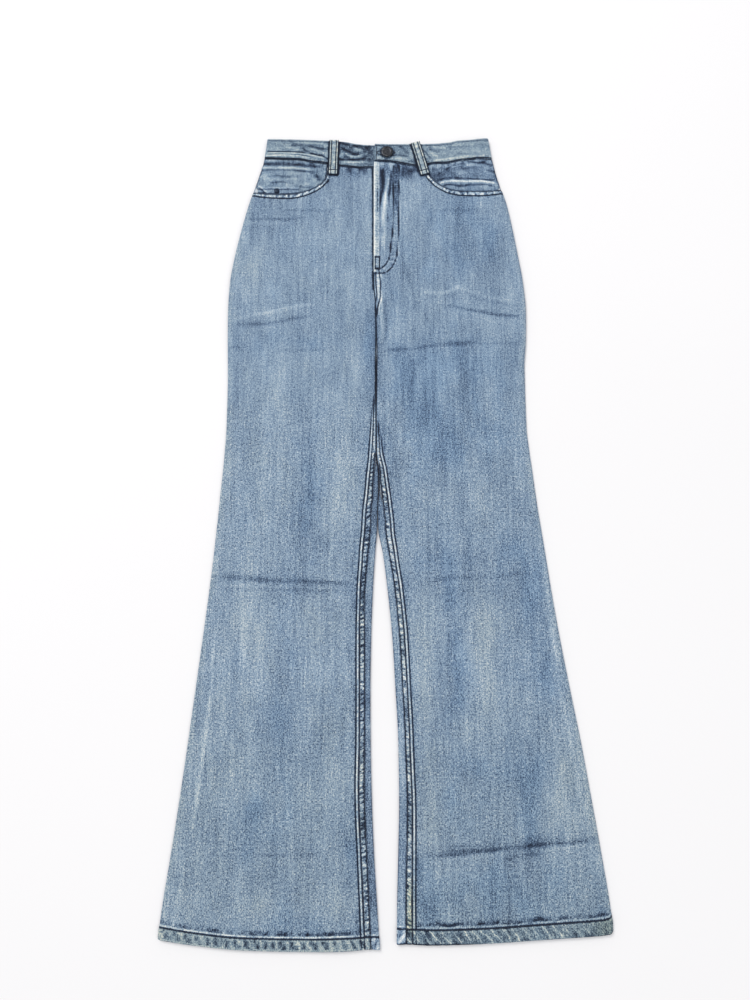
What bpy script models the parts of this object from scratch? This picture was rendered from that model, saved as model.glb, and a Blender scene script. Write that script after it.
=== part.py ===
"""Five-pocket flared jeans, laid flat with the front up.

Units in the tables are millimetres and are scaled to metres when a mesh is made.
X runs across the garment (+X is the wearer's left), Y runs from hem to waist,
Z is up from the surface the garment lies on. The origin is the centre of the
footprint, on that surface. "right" and "left" are the wearer's.

Every cloth piece is an open grid on the piece's middle surface, given its wall
by a Solidify modifier. The grids come from the section tables below.
"""

import math

import bmesh
import bpy
from mathutils import Vector

MM = 0.001
CLOTH = 1.1  # wall of one layer of denim
HEM_DEPTH = {"right": 15.0, "left": 19.0}  # the hem is folded on itself, so its wall is twice this cloth's
BAND_WALL = 2.0  # the waistband is two layers
LOOP_WALL = 1.6
SEAM = 0.3  # gap between two pieces at a seam
LAYER = CLOTH + SEAM  # from one layer's middle to the next one's
SIDE_ROUND = 5.5  # how far in from the side the front panel levels out
FLY_LIFT = 1.3  # the left front stands this much prouder over the zip
CENTRE = (1.0, 0.5)  # moves every piece, so that the footprint's centre is at the origin

# One row for each section across both legs. Outlines are the outer faces of
# the cloth. strip is how much of the back panel shows on top beside the inner
# edge, below the crotch; above the crotch the inner edges are the centre line.
SECTIONS = [
    # y,   right_out, right_in, right_strip, left_strip, left_in, left_out
    (-570, -293.0, -8.5, 9.6, 10.4, 13.2, 291.0),
    (-520, -288.6, -11.5, 8.8, 9.8, 13.4, 287.6),
    (-450, -279.4, -16.0, 7.8, 9.5, 15.2, 278.6),
    (-380, -270.6, -19.0, 7.9, 9.0, 16.8, 268.4),
    (-310, -262.6, -20.6, 6.4, 7.9, 16.0, 258.0),
    (-240, -255.0, -21.0, 5.9, 8.2, 12.4, 246.0),
    (-170, -247.4, -19.9, 7.3, 8.4, 8.3, 234.6),
    (-110, -241.2, -17.6, 9.5, 8.6, 2.4, 226.0),
    (-60, -236.6, -14.6, 8.2, 7.2, -3.9, 219.6),
    (-22, -233.6, -11.7, 7.6, 8.8, -10.7, 214.6),
    (0, -231.9, -11.3, 7.0, 7.0, -10.9, 211.6),
    (25, -230.2, -10.0, 6.3, 2.8, -9.6, 208.8),
    (55, -227.9, -10.0, 4.9, 0.3, -9.6, 205.6),
    (85, -226.1, -13.0, 0.6, 0.0, -12.6, 202.2),
    (120, -224.8, -13.2, 0.2, 0.0, -12.8, 199.3),
    (165, -224.7, -13.6, 0.0, 0.0, -13.2, 199.0),
    (205, -225.4, -13.4, 0.0, 0.0, -13.0, 199.1),
    (250, -226.8, -13.2, 0.0, 0.0, -12.8, 202.3),
    (295, -227.6, -14.2, 0.0, 0.0, -13.8, 203.5),
    (335, -226.2, -17.2, 0.0, 0.0, -16.8, 200.8),
    (380, -219.6, -17.2, 0.0, 0.0, -16.8, 194.3),
    (420, -211.2, -17.2, 0.0, 0.0, -16.8, 187.8),
    (460, -201.4, -17.2, 0.0, 0.0, -16.8, 180.0),
    (500, -188.8, -17.2, 0.0, 0.0, -16.8, 167.6),
    (535, -180.0, -17.2, 0.0, 0.0, -16.8, 159.9),
    (570, -176.2, -17.2, 0.0, 0.0, -16.8, 154.8),
]
COLUMN = {"right_out": 1, "right_in": 2, "right_strip": 3, "left_strip": 4, "left_in": 5, "left_out": 6}

# Height of the middle of each layer above the surface, by distance up the body.
LEVELS = [
    # y,   back, side seam, front
    (-570, 0.55, 1.60, 3.85),
    (150, 0.55, 1.60, 3.85),
    (195, 0.60, 1.70, 4.10),
    (262, 1.95, 3.00, 5.75),
    (330, 1.95, 3.00, 6.15),
    (570, 1.95, 3.00, 6.15),
]

# Bottom edge of each leg, from its outer to its inner side.
HEMS = {
    "right": [(0.0, -551.7), (0.17, -558.8), (0.38, -564.4), (0.55, -565.8), (0.72, -566.3), (0.89, -565.1), (1.0, -563.2)],
    "left": [(0.0, -541.6), (0.012, -544.6), (0.04, -546.6), (0.16, -549.1), (0.37, -552.7), (0.59, -556.6), (0.87, -558.7), (1.0, -557.4)],
}

# Waist seam and top edge of the waistband, along X.
WAIST_SEAM = {
    "right": [(-182, 532.0), (-156, 531.1), (-127, 530.2), (-112, 527.0), (-97, 525.4), (-86, 523.8), (-67, 519.7), (-52, 518.1), (-37, 516.6), (-22, 517.0), (30, 516.4)],
    "left": [(-20, 526.6), (3, 525.9), (15, 524.4), (30, 521.5), (45, 519.1), (56, 520.5), (67, 523.1), (76, 524.3), (90, 524.4), (97, 525.6), (112, 528.8), (127, 530.5), (142, 532.1), (151, 531.8), (164, 530.6)],
}
WAIST_TOP = {
    "right": [(-182, 564.2), (-130, 563.0), (-85, 561.0), (-60, 559.0), (-42, 555.6), (-22, 553.8), (30, 553.2)],
    "left": [(-20, 554.6), (20, 554.0), (44, 554.6), (66, 556.0), (82, 556.9), (97, 558.6), (112, 561.8), (127, 562.7), (142, 564.7), (152, 565.2), (164, 565.2)],
}

# Edge of each hand pocket's scoop, from the side seam to the waist seam.
SCOOPS = {
    "right": [(-197.0, 477.6), (-182.0, 475.6), (-165.0, 474.9), (-148.0, 474.6), (-135.0, 475.4), (-122.0, 478.2), (-109.0, 483.2), (-97.0, 490.2), (-89.5, 498.6), (-86.0, 510.6), (-84.5, 524.6)],
    "left": [(176.0, 481.4), (151.0, 479.5), (126.0, 479.5), (110.0, 480.2), (96.4, 482.5), (89.0, 485.7), (81.0, 490.2), (74.3, 495.6), (67.0, 503.6), (62.5, 510.5), (60.0, 523.0)],
}

POCKET_BOTTOM = 458.0  # lower edge of the pocket facings
POCKET_INNER = {"right": -74.0, "left": 47.0}
COIN = {"y_top": 486.0, "y_bottom": 459.0, "x_outer": -188.0, "x_inner": -128.0}
RIVET = {"x": -160.6, "y": 479.6, "radius": 3.6, "height": 1.0}

YOKE_SEAM = {"side": 497.0, "centre": 452.0}
BACK_CENTRE = -11.0
BACK_POCKET = {"inner": 30.0, "width_top": 142.0, "width_bottom": 126.0, "y_top": 432.0, "y_side": 296.0, "y_point": 277.0, "lean": 7.0}

FLY = {"y_bottom": 350.0, "y_top": 516.0, "shield_width": 44.0, "tape_width": 28.0, "chain_width": 4.6}
BUTTON = {"x": 3.0, "y": 540.5, "head_radius": 8.5, "head_height": 2.4, "neck_radius": 3.0}

LOOPS = [
    # name,                    x_top,   y_top, x_bottom, y_bottom, width, on the back
    ("belt_loop_front_right", -76.0, 561.0, -77.4, 505.3, 13.0, False),
    ("belt_loop_front_left", 45.2, 556.2, 59.6, 504.6, 13.0, False),
    ("belt_loop_side_right", -118.0, 560.0, -122.0, 503.0, 12.0, True),
    ("belt_loop_side_left", 99.0, 558.0, 103.0, 503.0, 12.0, True),
    ("belt_loop_back", -11.0, 552.0, -11.0, 493.0, 12.0, True),
]

DENIM = (0.260, 0.340, 0.440)
DENIM_DARK = (0.220, 0.300, 0.400)
METAL = (0.200, 0.185, 0.170)


# ---------------------------------------------------------------- tables


def smooth_step(low, high, value):
    t = min(1.0, max(0.0, (value - low) / (high - low)))
    return t * t * (3.0 - 2.0 * t)


def read(table, column, at):
    """A smooth curve through one column of a table whose first column rises."""
    if at <= table[0][0]:
        return table[0][column]
    if at >= table[-1][0]:
        return table[-1][column]
    i = max(k for k in range(len(table) - 1) if table[k][0] <= at)
    x0, x1 = table[i][0], table[i + 1][0]
    y0, y1 = table[i][column], table[i + 1][column]
    slope = (y1 - y0) / (x1 - x0)

    def tangent(k):
        if k == 0 or k == len(table) - 1:
            return slope
        before = (table[k][column] - table[k - 1][column]) / (table[k][0] - table[k - 1][0])
        after = (table[k + 1][column] - table[k][column]) / (table[k + 1][0] - table[k][0])
        if before * after <= 0:
            return 0.0
        return 2.0 * before * after / (before + after)

    t = (at - x0) / (x1 - x0)
    m0, m1 = tangent(i) * (x1 - x0), tangent(i + 1) * (x1 - x0)
    return (2 * t**3 - 3 * t**2 + 1) * y0 + (t**3 - 2 * t**2 + t) * m0 + (3 * t**2 - 2 * t**3) * y1 + (t**3 - t**2) * m1


def section(name, y):
    return read(SECTIONS, COLUMN[name], y)


def level(name, y):
    return read(LEVELS, {"back": 1, "side": 2, "front": 3}[name], y)


def outward(side):
    return -1.0 if side == "right" else 1.0


def legs_apart(y):
    """1 below the crotch, where the cloth turns round the inside leg, and 0 above it."""
    return 1.0 - smooth_step(196.0, 258.0, y)


def outer_x(side, y):
    """The middle surface of the cloth at the side."""
    return section(side + "_out", y) - outward(side) * CLOTH / 2


def inner_x(side, y):
    """The middle surface of the cloth at the inside leg, or the centre seam above the crotch."""
    return section(side + "_in", y) + outward(side) * CLOTH / 2 * (1.0 - smooth_step(228.0, 262.0, y))


def back_inner_x(side, y):
    """As inner_x, but on the back, whose centre seam runs a little to the left of the fly."""
    if y < 262.0:
        return inner_x(side, y)
    shift = smooth_step(262.0, 345.0, y)
    return (-13.4 + outward(side) * SEAM / 2) * (1 - shift) + (BACK_CENTRE + outward(side) * SEAM / 2) * shift


def strip(side, y):
    return max(0.0, section(side + "_strip", y))


def fold_radius(y):
    return (level("front", y) - level("back", y)) / 2


def quarter(distance, reach):
    """0 to 1, as a quarter circle rises."""
    t = min(1.0, max(0.0, distance / reach))
    return math.sqrt(1.0 - (1.0 - t) ** 2)


def polyline_at(points, distance):
    for (x0, y0), (x1, y1) in zip(points, points[1:]):
        step = math.hypot(x1 - x0, y1 - y0)
        if distance <= step:
            return x0 + (x1 - x0) * distance / step, y0 + (y1 - y0) * distance / step
        distance -= step
    return points[-1]


def polyline_length(points):
    return sum(math.hypot(b[0] - a[0], b[1] - a[1]) for a, b in zip(points, points[1:]))


def clear_of_scoop(side, x, y):
    """How far a point is inside the pocket opening, above the scoop's edge."""
    out = outward(side)
    points = SCOOPS[side]
    nearest = 1e9
    for (x0, y0), (x1, y1) in zip(points, points[1:]):
        dx, dy = x1 - x0, y1 - y0
        t = min(1.0, max(0.0, ((x - x0) * dx + (y - y0) * dy) / (dx * dx + dy * dy)))
        nearest = min(nearest, math.hypot(x - x0 - t * dx, y - y0 - t * dy))
    if out * (x - points[-1][0]) <= 0:
        return -nearest
    ordered = sorted(points)
    for (x0, y0), (x1, y1) in zip(ordered, ordered[1:]):
        if x0 <= x <= x1:
            return nearest if y > y0 + (y1 - y0) * (x - x0) / (x1 - x0) else -nearest
    return nearest if y > (points[0][1]) else -nearest


# ---------------------------------------------------------------- meshes


def material(name, colour, roughness, metallic=0.0):
    found = bpy.data.materials.get(name)
    if found:
        return found
    made = bpy.data.materials.new(name)
    made.use_nodes = True
    shader = made.node_tree.nodes["Principled BSDF"]
    shader.inputs["Base Color"].default_value = (*colour, 1.0)
    shader.inputs["Roughness"].default_value = roughness
    shader.inputs["Metallic"].default_value = metallic
    return made


def add_object(name, mesh, made_of, collection):
    obj = bpy.data.objects.new(name, mesh)
    mesh.materials.append(made_of)
    collection.objects.link(obj)
    return obj


def sheet(name, rows, wall, made_of, collection, thick_rows=()):
    """An open grid of points in millimetres, with its wall from Solidify.

    Rows in thick_rows have twice the wall, as where cloth is folded on itself.
    """
    mesh = bpy.data.meshes.new(name)
    bm = bmesh.new()
    grid = [[bm.verts.new(Vector(p) * MM) for p in row] for row in rows]
    for low, high in zip(grid, grid[1:]):
        for a, b, c, d in zip(low, low[1:], high[1:], high):
            bm.faces.new((a, b, c, d))
    bm.normal_update()
    if sum(f.normal.z * f.calc_area() for f in bm.faces) < 0:
        bmesh.ops.reverse_faces(bm, faces=bm.faces)
    bm.to_mesh(mesh)
    bm.free()
    mesh.shade_smooth()
    obj = add_object(name, mesh, made_of, collection)
    solid = obj.modifiers.new("wall", "SOLIDIFY")
    solid.offset = 0.0
    solid.use_even_offset = True
    solid.thickness = wall * MM
    if thick_rows:
        group = obj.vertex_groups.new(name="folded")
        width = len(rows[0])
        group.add([r * width + c for r in thick_rows for c in range(width)], 1.0, "REPLACE")
        solid.vertex_group = "folded"
        solid.thickness = 2 * wall * MM
        solid.thickness_vertex_group = 0.5
    return obj


# ---------------------------------------------------------------- leg panels

# Heights of a leg panel's rows up to where its own top edge shapes them.
STATIONS = [-500, -430, -360, -290, -220, -160, -105, -55, -15, 30, 75, 115, 155, 190, 215, 240, 265, 320, 380, 430]
TOP_SHARES = [0.45, 0.80, 1.0]
HEM_ROWS = (0, 1)
# Columns of a front panel: distances in from the side and from the inner edge.
# The first two are one above the other, so that the side seam's edge stands upright.
FRONT_OUTER = [0.0, 0.0, 1.0, 2.8, 5.5]
FRONT_INNER = [2.2, 0.3, 0.0]
UPRIGHT = 0.35
WAIST_SHARES = {"right": (0.26, 0.52, 0.74), "left": (0.10, 0.20, 0.40, 0.60)}  # where the waist seam bends between the scoop and the fly


def across(width, corner, waist_shares):
    """Distances in from the side. corner is the share at which the scoop meets the waist seam."""
    start, end = FRONT_OUTER[-1], width - FRONT_INNER[0]
    shares = [corner * 0.26, corner * 0.55, corner * 0.73, corner * 0.87, corner]
    shares += [corner + (1 - corner) * share for share in waist_shares]
    return FRONT_OUTER + [start + (end - start) * share for share in shares] + [width - d for d in FRONT_INNER]


def row_heights(side, share, y_top):
    """The heights of one column's points. share is how far across the leg it runs."""
    hem = read(HEMS[side], 1, share)
    lift = hem - STATIONS[0] + 62.0
    heights = [hem, hem + HEM_DEPTH[side] - 1.5, hem + HEM_DEPTH[side]]
    heights += [y + lift * (1.0 - smooth_step(STATIONS[0] - 60.0, STATIONS[2], y)) for y in STATIONS]
    return heights + [STATIONS[-1] + (y_top - STATIONS[-1]) * share_up for share_up in TOP_SHARES]


def seam_x(side, y):
    """Where the front panel ends at the inseam or the centre seam."""
    return inner_x(side, y) + outward(side) * (strip(side, y) + SEAM / 2)


def fly_lift(side, x, y):
    if side == "right":
        return 0.0
    return FLY_LIFT * (1.0 - smooth_step(64.0, 92.0, x - seam_x(side, y))) * smooth_step(325.0, 365.0, y)


def front_height(side, x, y, column):
    """Height of the front panel's middle surface."""
    out = outward(side)
    top, seam = level("front", y), level("side", y) + SEAM / 2
    if column == 0:
        return seam
    seam += UPRIGHT
    height = seam + (top - seam) * quarter(out * (outer_x(side, y) - x), SIDE_ROUND)
    apart = legs_apart(y)
    if apart > 0:
        middle, radius = (level("front", y) + level("back", y)) / 2 + SEAM, fold_radius(y)
        from_edge = out * (x - inner_x(side, y))
        if from_edge < radius:
            folded = middle + (top - middle) * quarter(from_edge, radius)
            height += apart * (min(height, folded) - height)
    return height + fly_lift(side, x, y)


def top_boundary(side):
    """The top edge of a front panel, as the scoop and then the waist seam as far as the centre."""
    scoop = list(SCOOPS[side])
    scoop[0] = (outer_x(side, scoop[0][1]), scoop[0][1])
    corner = scoop[-1][0]
    scoop[-1] = (corner, read(WAIST_SEAM[side], 1, corner) - 2 * SEAM)
    last = seam_x(side, 525.0)
    waist = [corner + (last - corner) * share for share in (*WAIST_SHARES[side], 1.0)]
    return scoop, [(x, read(WAIST_SEAM[side], 1, x) - 2 * SEAM) for x in waist]


def front_leg(side):
    out = outward(side)
    scoop, waist = top_boundary(side)
    boundary = scoop + waist
    length = polyline_length(boundary)
    corner = (polyline_length(scoop) - FRONT_OUTER[-1]) / (length - FRONT_OUTER[-1] - FRONT_INNER[0])
    columns = []
    for j, distance in enumerate(across(length, corner, WAIST_SHARES[side])):
        x_top, y_top = polyline_at(boundary, distance)
        at_top = (x_top - outer_x(side, y_top)) / (seam_x(side, y_top) - outer_x(side, y_top))
        column = []
        for i, y in enumerate(row_heights(side, distance / length, y_top)):
            width = out * (outer_x(side, y) - seam_x(side, y))
            mix = smooth_step(250.0, y_top, y)
            share = across(width, corner, WAIST_SHARES[side])[j] / width * (1 - mix) + at_top * mix
            x = outer_x(side, y) - out * width * share
            hem = CLOTH if i in HEM_ROWS else 0.0
            column.append((x, y, front_height(side, x, y, j) + hem))
        columns.append(column)
    return list(zip(*columns))


def wrap_columns(end):
    """Arc distances of the back panel's last columns from where its fold begins.

    end is where the panel stops: 0 on the floor, half the fold's arc where the
    inseam is at the inside leg, more where it comes up on top.
    """
    arc = math.pi * 1.65
    flat = [-26.0, -16.0, -10.0, -7.0, -4.5, -3.0, -1.5, 0.0]
    half = [-14.0, -5.0, -1.4, -0.3, 0.45, 1.1, 1.9, arc / 2]
    whole = [-12.0, -3.0, 0.0, arc * 0.25, arc * 0.5, arc * 0.75, arc]
    whole.append(max(end, arc * 1.08))
    if end <= arc / 2:
        share = end / (arc / 2)
        return [a + (b - a) * share for a, b in zip(flat, half)]
    share = min(1.0, (end - arc / 2) / (arc * 0.58))
    return [a + (b - a) * share for a, b in zip(half, whole)]


def wrap_end(side, y):
    """Arc distance from the start of the fold to the back panel's edge."""
    arc = math.pi * fold_radius(y)
    apart = legs_apart(y)
    if apart < 1:
        return apart * arc / 2
    share = smooth_step(0.0, 6.0, strip(side, y))
    return arc / 2 * (1 - share) + (arc + strip(side, y) - fold_radius(y)) * share


# Columns of a back panel across the floor: distances in from the side, then shares of what is left.
BACK_OUTER = [0.0, 0.0, 0.7, 2.2]
BACK_MIDDLE = [0.30, 0.66]
BACK_SHARES = [0.0, 0.0, 0.003, 0.01, 0.30, 0.62, 0.92, 0.95, 0.96, 0.97, 0.98, 0.99, 0.995, 1.0]


def back_leg(side):
    out = outward(side)
    columns = []
    for j, share in enumerate(BACK_SHARES):
        top = YOKE_SEAM["side"] + (YOKE_SEAM["centre"] - YOKE_SEAM["side"]) * share - SEAM / 2
        column = []
        for i, y in enumerate(row_heights(side, share, top)):
            floor, seam = level("back", y), level("side", y) - SEAM / 2
            apart, radius = legs_apart(y), fold_radius(y)
            start = back_inner_x(side, y) + out * radius * apart
            width = out * (outer_x(side, y) - start)
            ends = wrap_columns(wrap_end(side, y))
            k = j - len(BACK_OUTER) - len(BACK_MIDDLE)
            if j == 0:
                x, z = outer_x(side, y), seam
            elif j < len(BACK_OUTER):
                x = outer_x(side, y) - out * BACK_OUTER[j]
                z = seam - 0.3 + (floor - seam + 0.3) * quarter(BACK_OUTER[j], 2.2)
            elif k < 0:
                inward = BACK_OUTER[-1] + (width + ends[0] - BACK_OUTER[-1]) * BACK_MIDDLE[j - len(BACK_OUTER)]
                x, z = outer_x(side, y) - out * inward, floor
            elif ends[k] <= 0:
                x, z = start - out * ends[k], floor
            elif ends[k] <= math.pi * radius:
                angle = ends[k] / radius
                x = start - out * radius * math.sin(angle)
                z = floor + radius * (1 - math.cos(angle))
            else:
                x, z = start + out * (ends[k] - math.pi * radius), floor + 2 * radius
            if i in HEM_ROWS:
                z += CLOTH / 2 + 0.02 + CLOTH / 2 * (z - floor) / (2 * radius)
            column.append((x, y, z))
        columns.append(column)
    return list(zip(*columns))


# ---------------------------------------------------------------- other pieces


def facing_height(side, x, y, upright=True):
    """Under the front panel beside the scoop, and up level with it inside the opening."""
    inside = outward(side) * (outer_x(side, y) - x)
    seam = level("side", y) + SEAM / 2
    if not upright:
        return seam
    seam += UPRIGHT
    swell = max(1.5 * smooth_step(2.0, 15.0, clear_of_scoop(side, x, y)), 1.4 * smooth_step(500.0, 518.0, y))
    flat = level("back", y) + LAYER + swell
    return seam + (flat - seam) * quarter(inside, SIDE_ROUND)


def facing(side):
    out = outward(side)
    rows = []
    for i, v in enumerate([0.0, 0.22, 0.38, 0.46, 0.70, 1.0]):
        row = []
        for j, share in enumerate([0.0, 0.0, 0.009, 0.025, 0.05, 0.25, 0.45, 0.65, 0.83, 1.0]):
            y = POCKET_BOTTOM + (530.0 - POCKET_BOTTOM) * v
            for _ in range(2):
                edge = outer_x(side, y)
                tuck = 6.0 * (1.0 - smooth_step(481.0, 488.0, y))
                x = edge - out * tuck + (POCKET_INNER[side] - edge + out * tuck) * share
                top = min(read(WAIST_SEAM[side], 1, x), band_line("low", x) if share < 0.1 else 999.0) - 2 * SEAM
                y = POCKET_BOTTOM + (top - POCKET_BOTTOM) * v
            edge = outer_x(side, y)
            tuck = 6.0 * (1.0 - smooth_step(481.0, 488.0, y))
            x = edge - out * tuck + (POCKET_INNER[side] - edge + out * tuck) * share
            if tuck > 0 and j == 1:
                x -= out * 0.4 * min(1.0, tuck)
            row.append((x, y, facing_height(side, x, y, j > 0 or tuck > 3.0)))
        rows.append(row)
    return rows


def on_facing(x, y, layers):
    return facing_height("right", x, y) + layers * LAYER + 0.15


def coin_pocket():
    rows = []
    for i in range(4):
        y = COIN["y_bottom"] + (COIN["y_top"] - COIN["y_bottom"]) * i / 3
        row = []
        for j in range(6):
            x = COIN["x_outer"] + (COIN["x_inner"] - COIN["x_outer"]) * j / 5
            row.append((x, y, on_facing(x, y, 1.0)))
        rows.append(row)
    return rows


def yoke(side):
    out = outward(side)
    rows = []
    for i in range(4):
        row = []
        for j, share in enumerate([0.0, 0.0, 0.004, 0.013, 0.25, 0.5, 0.75, 1.0]):
            low = YOKE_SEAM["side"] + (YOKE_SEAM["centre"] - YOKE_SEAM["side"]) * share + SEAM / 2
            y = low
            for _ in range(3):
                edge = outer_x(side, y)
                x = edge + (BACK_CENTRE + out * SEAM / 2 - edge) * share
                y = low + (band_line("low", x) - 2 * SEAM - low) * i / 3
            edge = outer_x(side, y)
            x = edge + (BACK_CENTRE + out * SEAM / 2 - edge) * share
            floor, seam = level("back", y), level("side", y) - SEAM / 2
            z = seam if j == 0 else seam - 0.3 + (floor - seam + 0.3) * quarter(out * (edge - x), 2.2)
            row.append((x, y, z))
        rows.append(row)
    return rows


def band_line(which, x):
    """The back waistband's edges dip a little to the centre and stay just under the front's, so they don't show from above."""
    share = abs(x - BACK_CENTRE) / 171.0
    base, right, left = {"low": (521.0, 11.5, 11.0), "high": (552.4, 11.5, 12.0)}[which]
    return base + (right if x < BACK_CENTRE else left) * share**1.6


BAND_LEVEL = {"back": 2.4, "front": 5.6, "over": 7.9}
BAND_ENDS = {"under": 26.0, "over": -15.0}


def waistband():
    """A strip that starts under the fly's lap, goes round the right side, across the back and round the left side, and ends lapped over its start."""
    radius = (BAND_LEVEL["front"] - BAND_LEVEL["back"]) / 2
    path = []  # (x, z, share of the way from front to back, which front)
    left_end, right_end = {}, {}
    for which, y in (("low", 533.0), ("high", 565.0)):
        left_end[which] = section("right_out", y) + BAND_WALL / 2 + radius
        right_end[which] = section("left_out", y) - BAND_WALL / 2 - radius
    for x in (26.0, 10.0, -8.0, -22.0, -37.0, -52.0, -67.0, -86.0, -97.0, -112.0, -127.0, -155.0):
        path.append((("x", x), BAND_LEVEL["front"], 0.0, "right"))
    for step in range(0, 7):
        angle = math.pi * step / 6
        path.append((("l", -radius * math.sin(angle)), BAND_LEVEL["back"] + radius * (1 + math.cos(angle)), step / 6, "right"))
    for x in (-150.0, -110.0, -65.0, -20.0, 25.0, 65.0, 105.0, 140.0):
        path.append((("x", x), BAND_LEVEL["back"], 1.0, "right" if x < 0 else "left"))
    for step in range(0, 7):
        angle = math.pi * step / 6
        path.append((("r", radius * math.sin(angle)), BAND_LEVEL["back"] + radius * (1 - math.cos(angle)), 1 - step / 6, "left"))
    for x in (127.0, 112.0, 97.0, 84.0, 67.0, 60.0, 52.0, 45.0, 37.0, 30.0, 15.0, 3.0, -6.0, BAND_ENDS["over"]):
        rise = 1 - smooth_step(34.0, 66.0, x)
        path.append((("x", x), BAND_LEVEL["front"] + (BAND_LEVEL["over"] - BAND_LEVEL["front"]) * rise, 0.0, "left"))
    rows = []
    for (kind, value), z, back, which in path:
        row = []
        for v in (0.0, 0.5, 1.0):
            if kind == "x":
                x = value
            else:
                ends = left_end if kind == "l" else right_end
                x = ends["low"] + (ends["high"] - ends["low"]) * v + value
            low = read(WAIST_SEAM[which], 1, x) * (1 - back) + band_line("low", x) * back + SEAM / 2
            high = read(WAIST_TOP[which], 1, x) * (1 - back) + band_line("high", x) * back
            row.append((x, low + (high - low) * v, z))
        rows.append(row)
    return rows


def band_top(side, x):
    rise = 1 - smooth_step(34.0, 66.0, x) if side == "left" else 0.0
    return BAND_LEVEL["front"] + (BAND_LEVEL["over"] - BAND_LEVEL["front"]) * rise + BAND_WALL / 2


def belt_loop(x_top, y_top, x_bottom, y_bottom, width, at_back):
    rows = []
    side = "right" if x_top < 0 else "left"
    for i in range(8):
        v = i / 7
        x, y = x_bottom + (x_top - x_bottom) * v, y_bottom + (y_top - y_bottom) * v
        if at_back:
            z = CLOTH / 2
        else:
            on_band = max(band_top(side, x + d) for d in (-width / 2 - 3.0, 0.0, width / 2 + 3.0)) + SEAM + LOOP_WALL / 2
            on_leg = level("front", y_bottom) + fly_lift(side, x, y_bottom) + CLOTH / 2 + SEAM + LOOP_WALL / 2
            z = max(on_leg, on_band) + 0.8 * math.sin(math.pi * v) ** 2
        normal = Vector((y_top - y_bottom, x_bottom - x_top, 0)).normalized()
        row = []
        for s in (-0.5, 0.0, 0.5):
            row.append((x + normal.x * s * width, y + normal.y * s * width, z))
        rows.append(row)
    return rows


def back_pocket(side):
    out = outward(side)
    rows = []
    p = BACK_POCKET
    for i in range(4):
        v = i / 3
        row = []
        for j in range(5):
            s = j / 4
            width = p["width_bottom"] + (p["width_top"] - p["width_bottom"]) * v
            x = BACK_CENTRE + out * (p["inner"] + p["width_top"] / 2 + width * (s - 0.5) + p["lean"] * (v - 0.5))
            low = p["y_side"] + (p["y_point"] - p["y_side"]) * (1 - abs(2 * s - 1))
            row.append((x, low + (p["y_top"] - low) * v, CLOTH / 2))
        rows.append(row)
    return rows


def fly_shield():
    level_z = level("back", 450.0) + LAYER
    rows = []
    for i in range(5):
        y = FLY["y_bottom"] - 6 + (FLY["y_top"] - FLY["y_bottom"] + 6) * i / 4
        rows.append([(-27.0 + FLY["shield_width"] * j / 3, y, level_z) for j in range(4)])
    return rows


def zip_profile():
    """Across the closed zip: tape, chain, tape."""
    half, chain = FLY["tape_width"] / 2, FLY["chain_width"] / 2
    return [(-half, 0.0), (-chain - 0.4, 0.0), (-chain, 0.25), (chain, 0.25), (chain + 0.4, 0.0), (half, 0.0)]


def zip_tape():
    middle = level("back", 450.0) + LAYER + CLOTH / 2 + SEAM + 0.4
    rows = []
    for i in range(4):
        y = FLY["y_bottom"] + 4 + (FLY["y_top"] - FLY["y_bottom"] - 6) * i / 3
        rows.append([(-4.0 + x, y, middle + z) for x, z in zip_profile()])
    return rows


def rounded_block(name, centre, size, bevel, made_of, collection):
    bm = bmesh.new()
    bmesh.ops.create_cube(bm, size=1.0)
    bmesh.ops.scale(bm, vec=Vector(size) * MM, verts=bm.verts)
    mesh = bpy.data.meshes.new(name)
    bm.to_mesh(mesh)
    bm.free()
    obj = add_object(name, mesh, made_of, collection)
    obj.location = Vector(centre) * MM
    edge = obj.modifiers.new("round", "BEVEL")
    edge.width = bevel * MM
    edge.segments = 2
    return obj


def turned(name, profile, centre, steps, made_of, collection):
    """A solid of revolution about Z. The profile runs down its outer side, top to bottom."""
    mesh = bpy.data.meshes.new(name)
    bm = bmesh.new()
    verts = [bm.verts.new((r * MM, 0, z * MM)) for r, z in profile]
    for a, b in zip(verts, verts[1:]):
        bm.edges.new((a, b))
    bm.to_mesh(mesh)
    bm.free()
    obj = add_object(name, mesh, made_of, collection)
    obj.location = Vector(centre) * MM
    screw = obj.modifiers.new("turn", "SCREW")
    screw.steps = screw.render_steps = steps
    screw.use_merge_vertices = True
    screw.merge_threshold = 0.00001
    return obj


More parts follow.
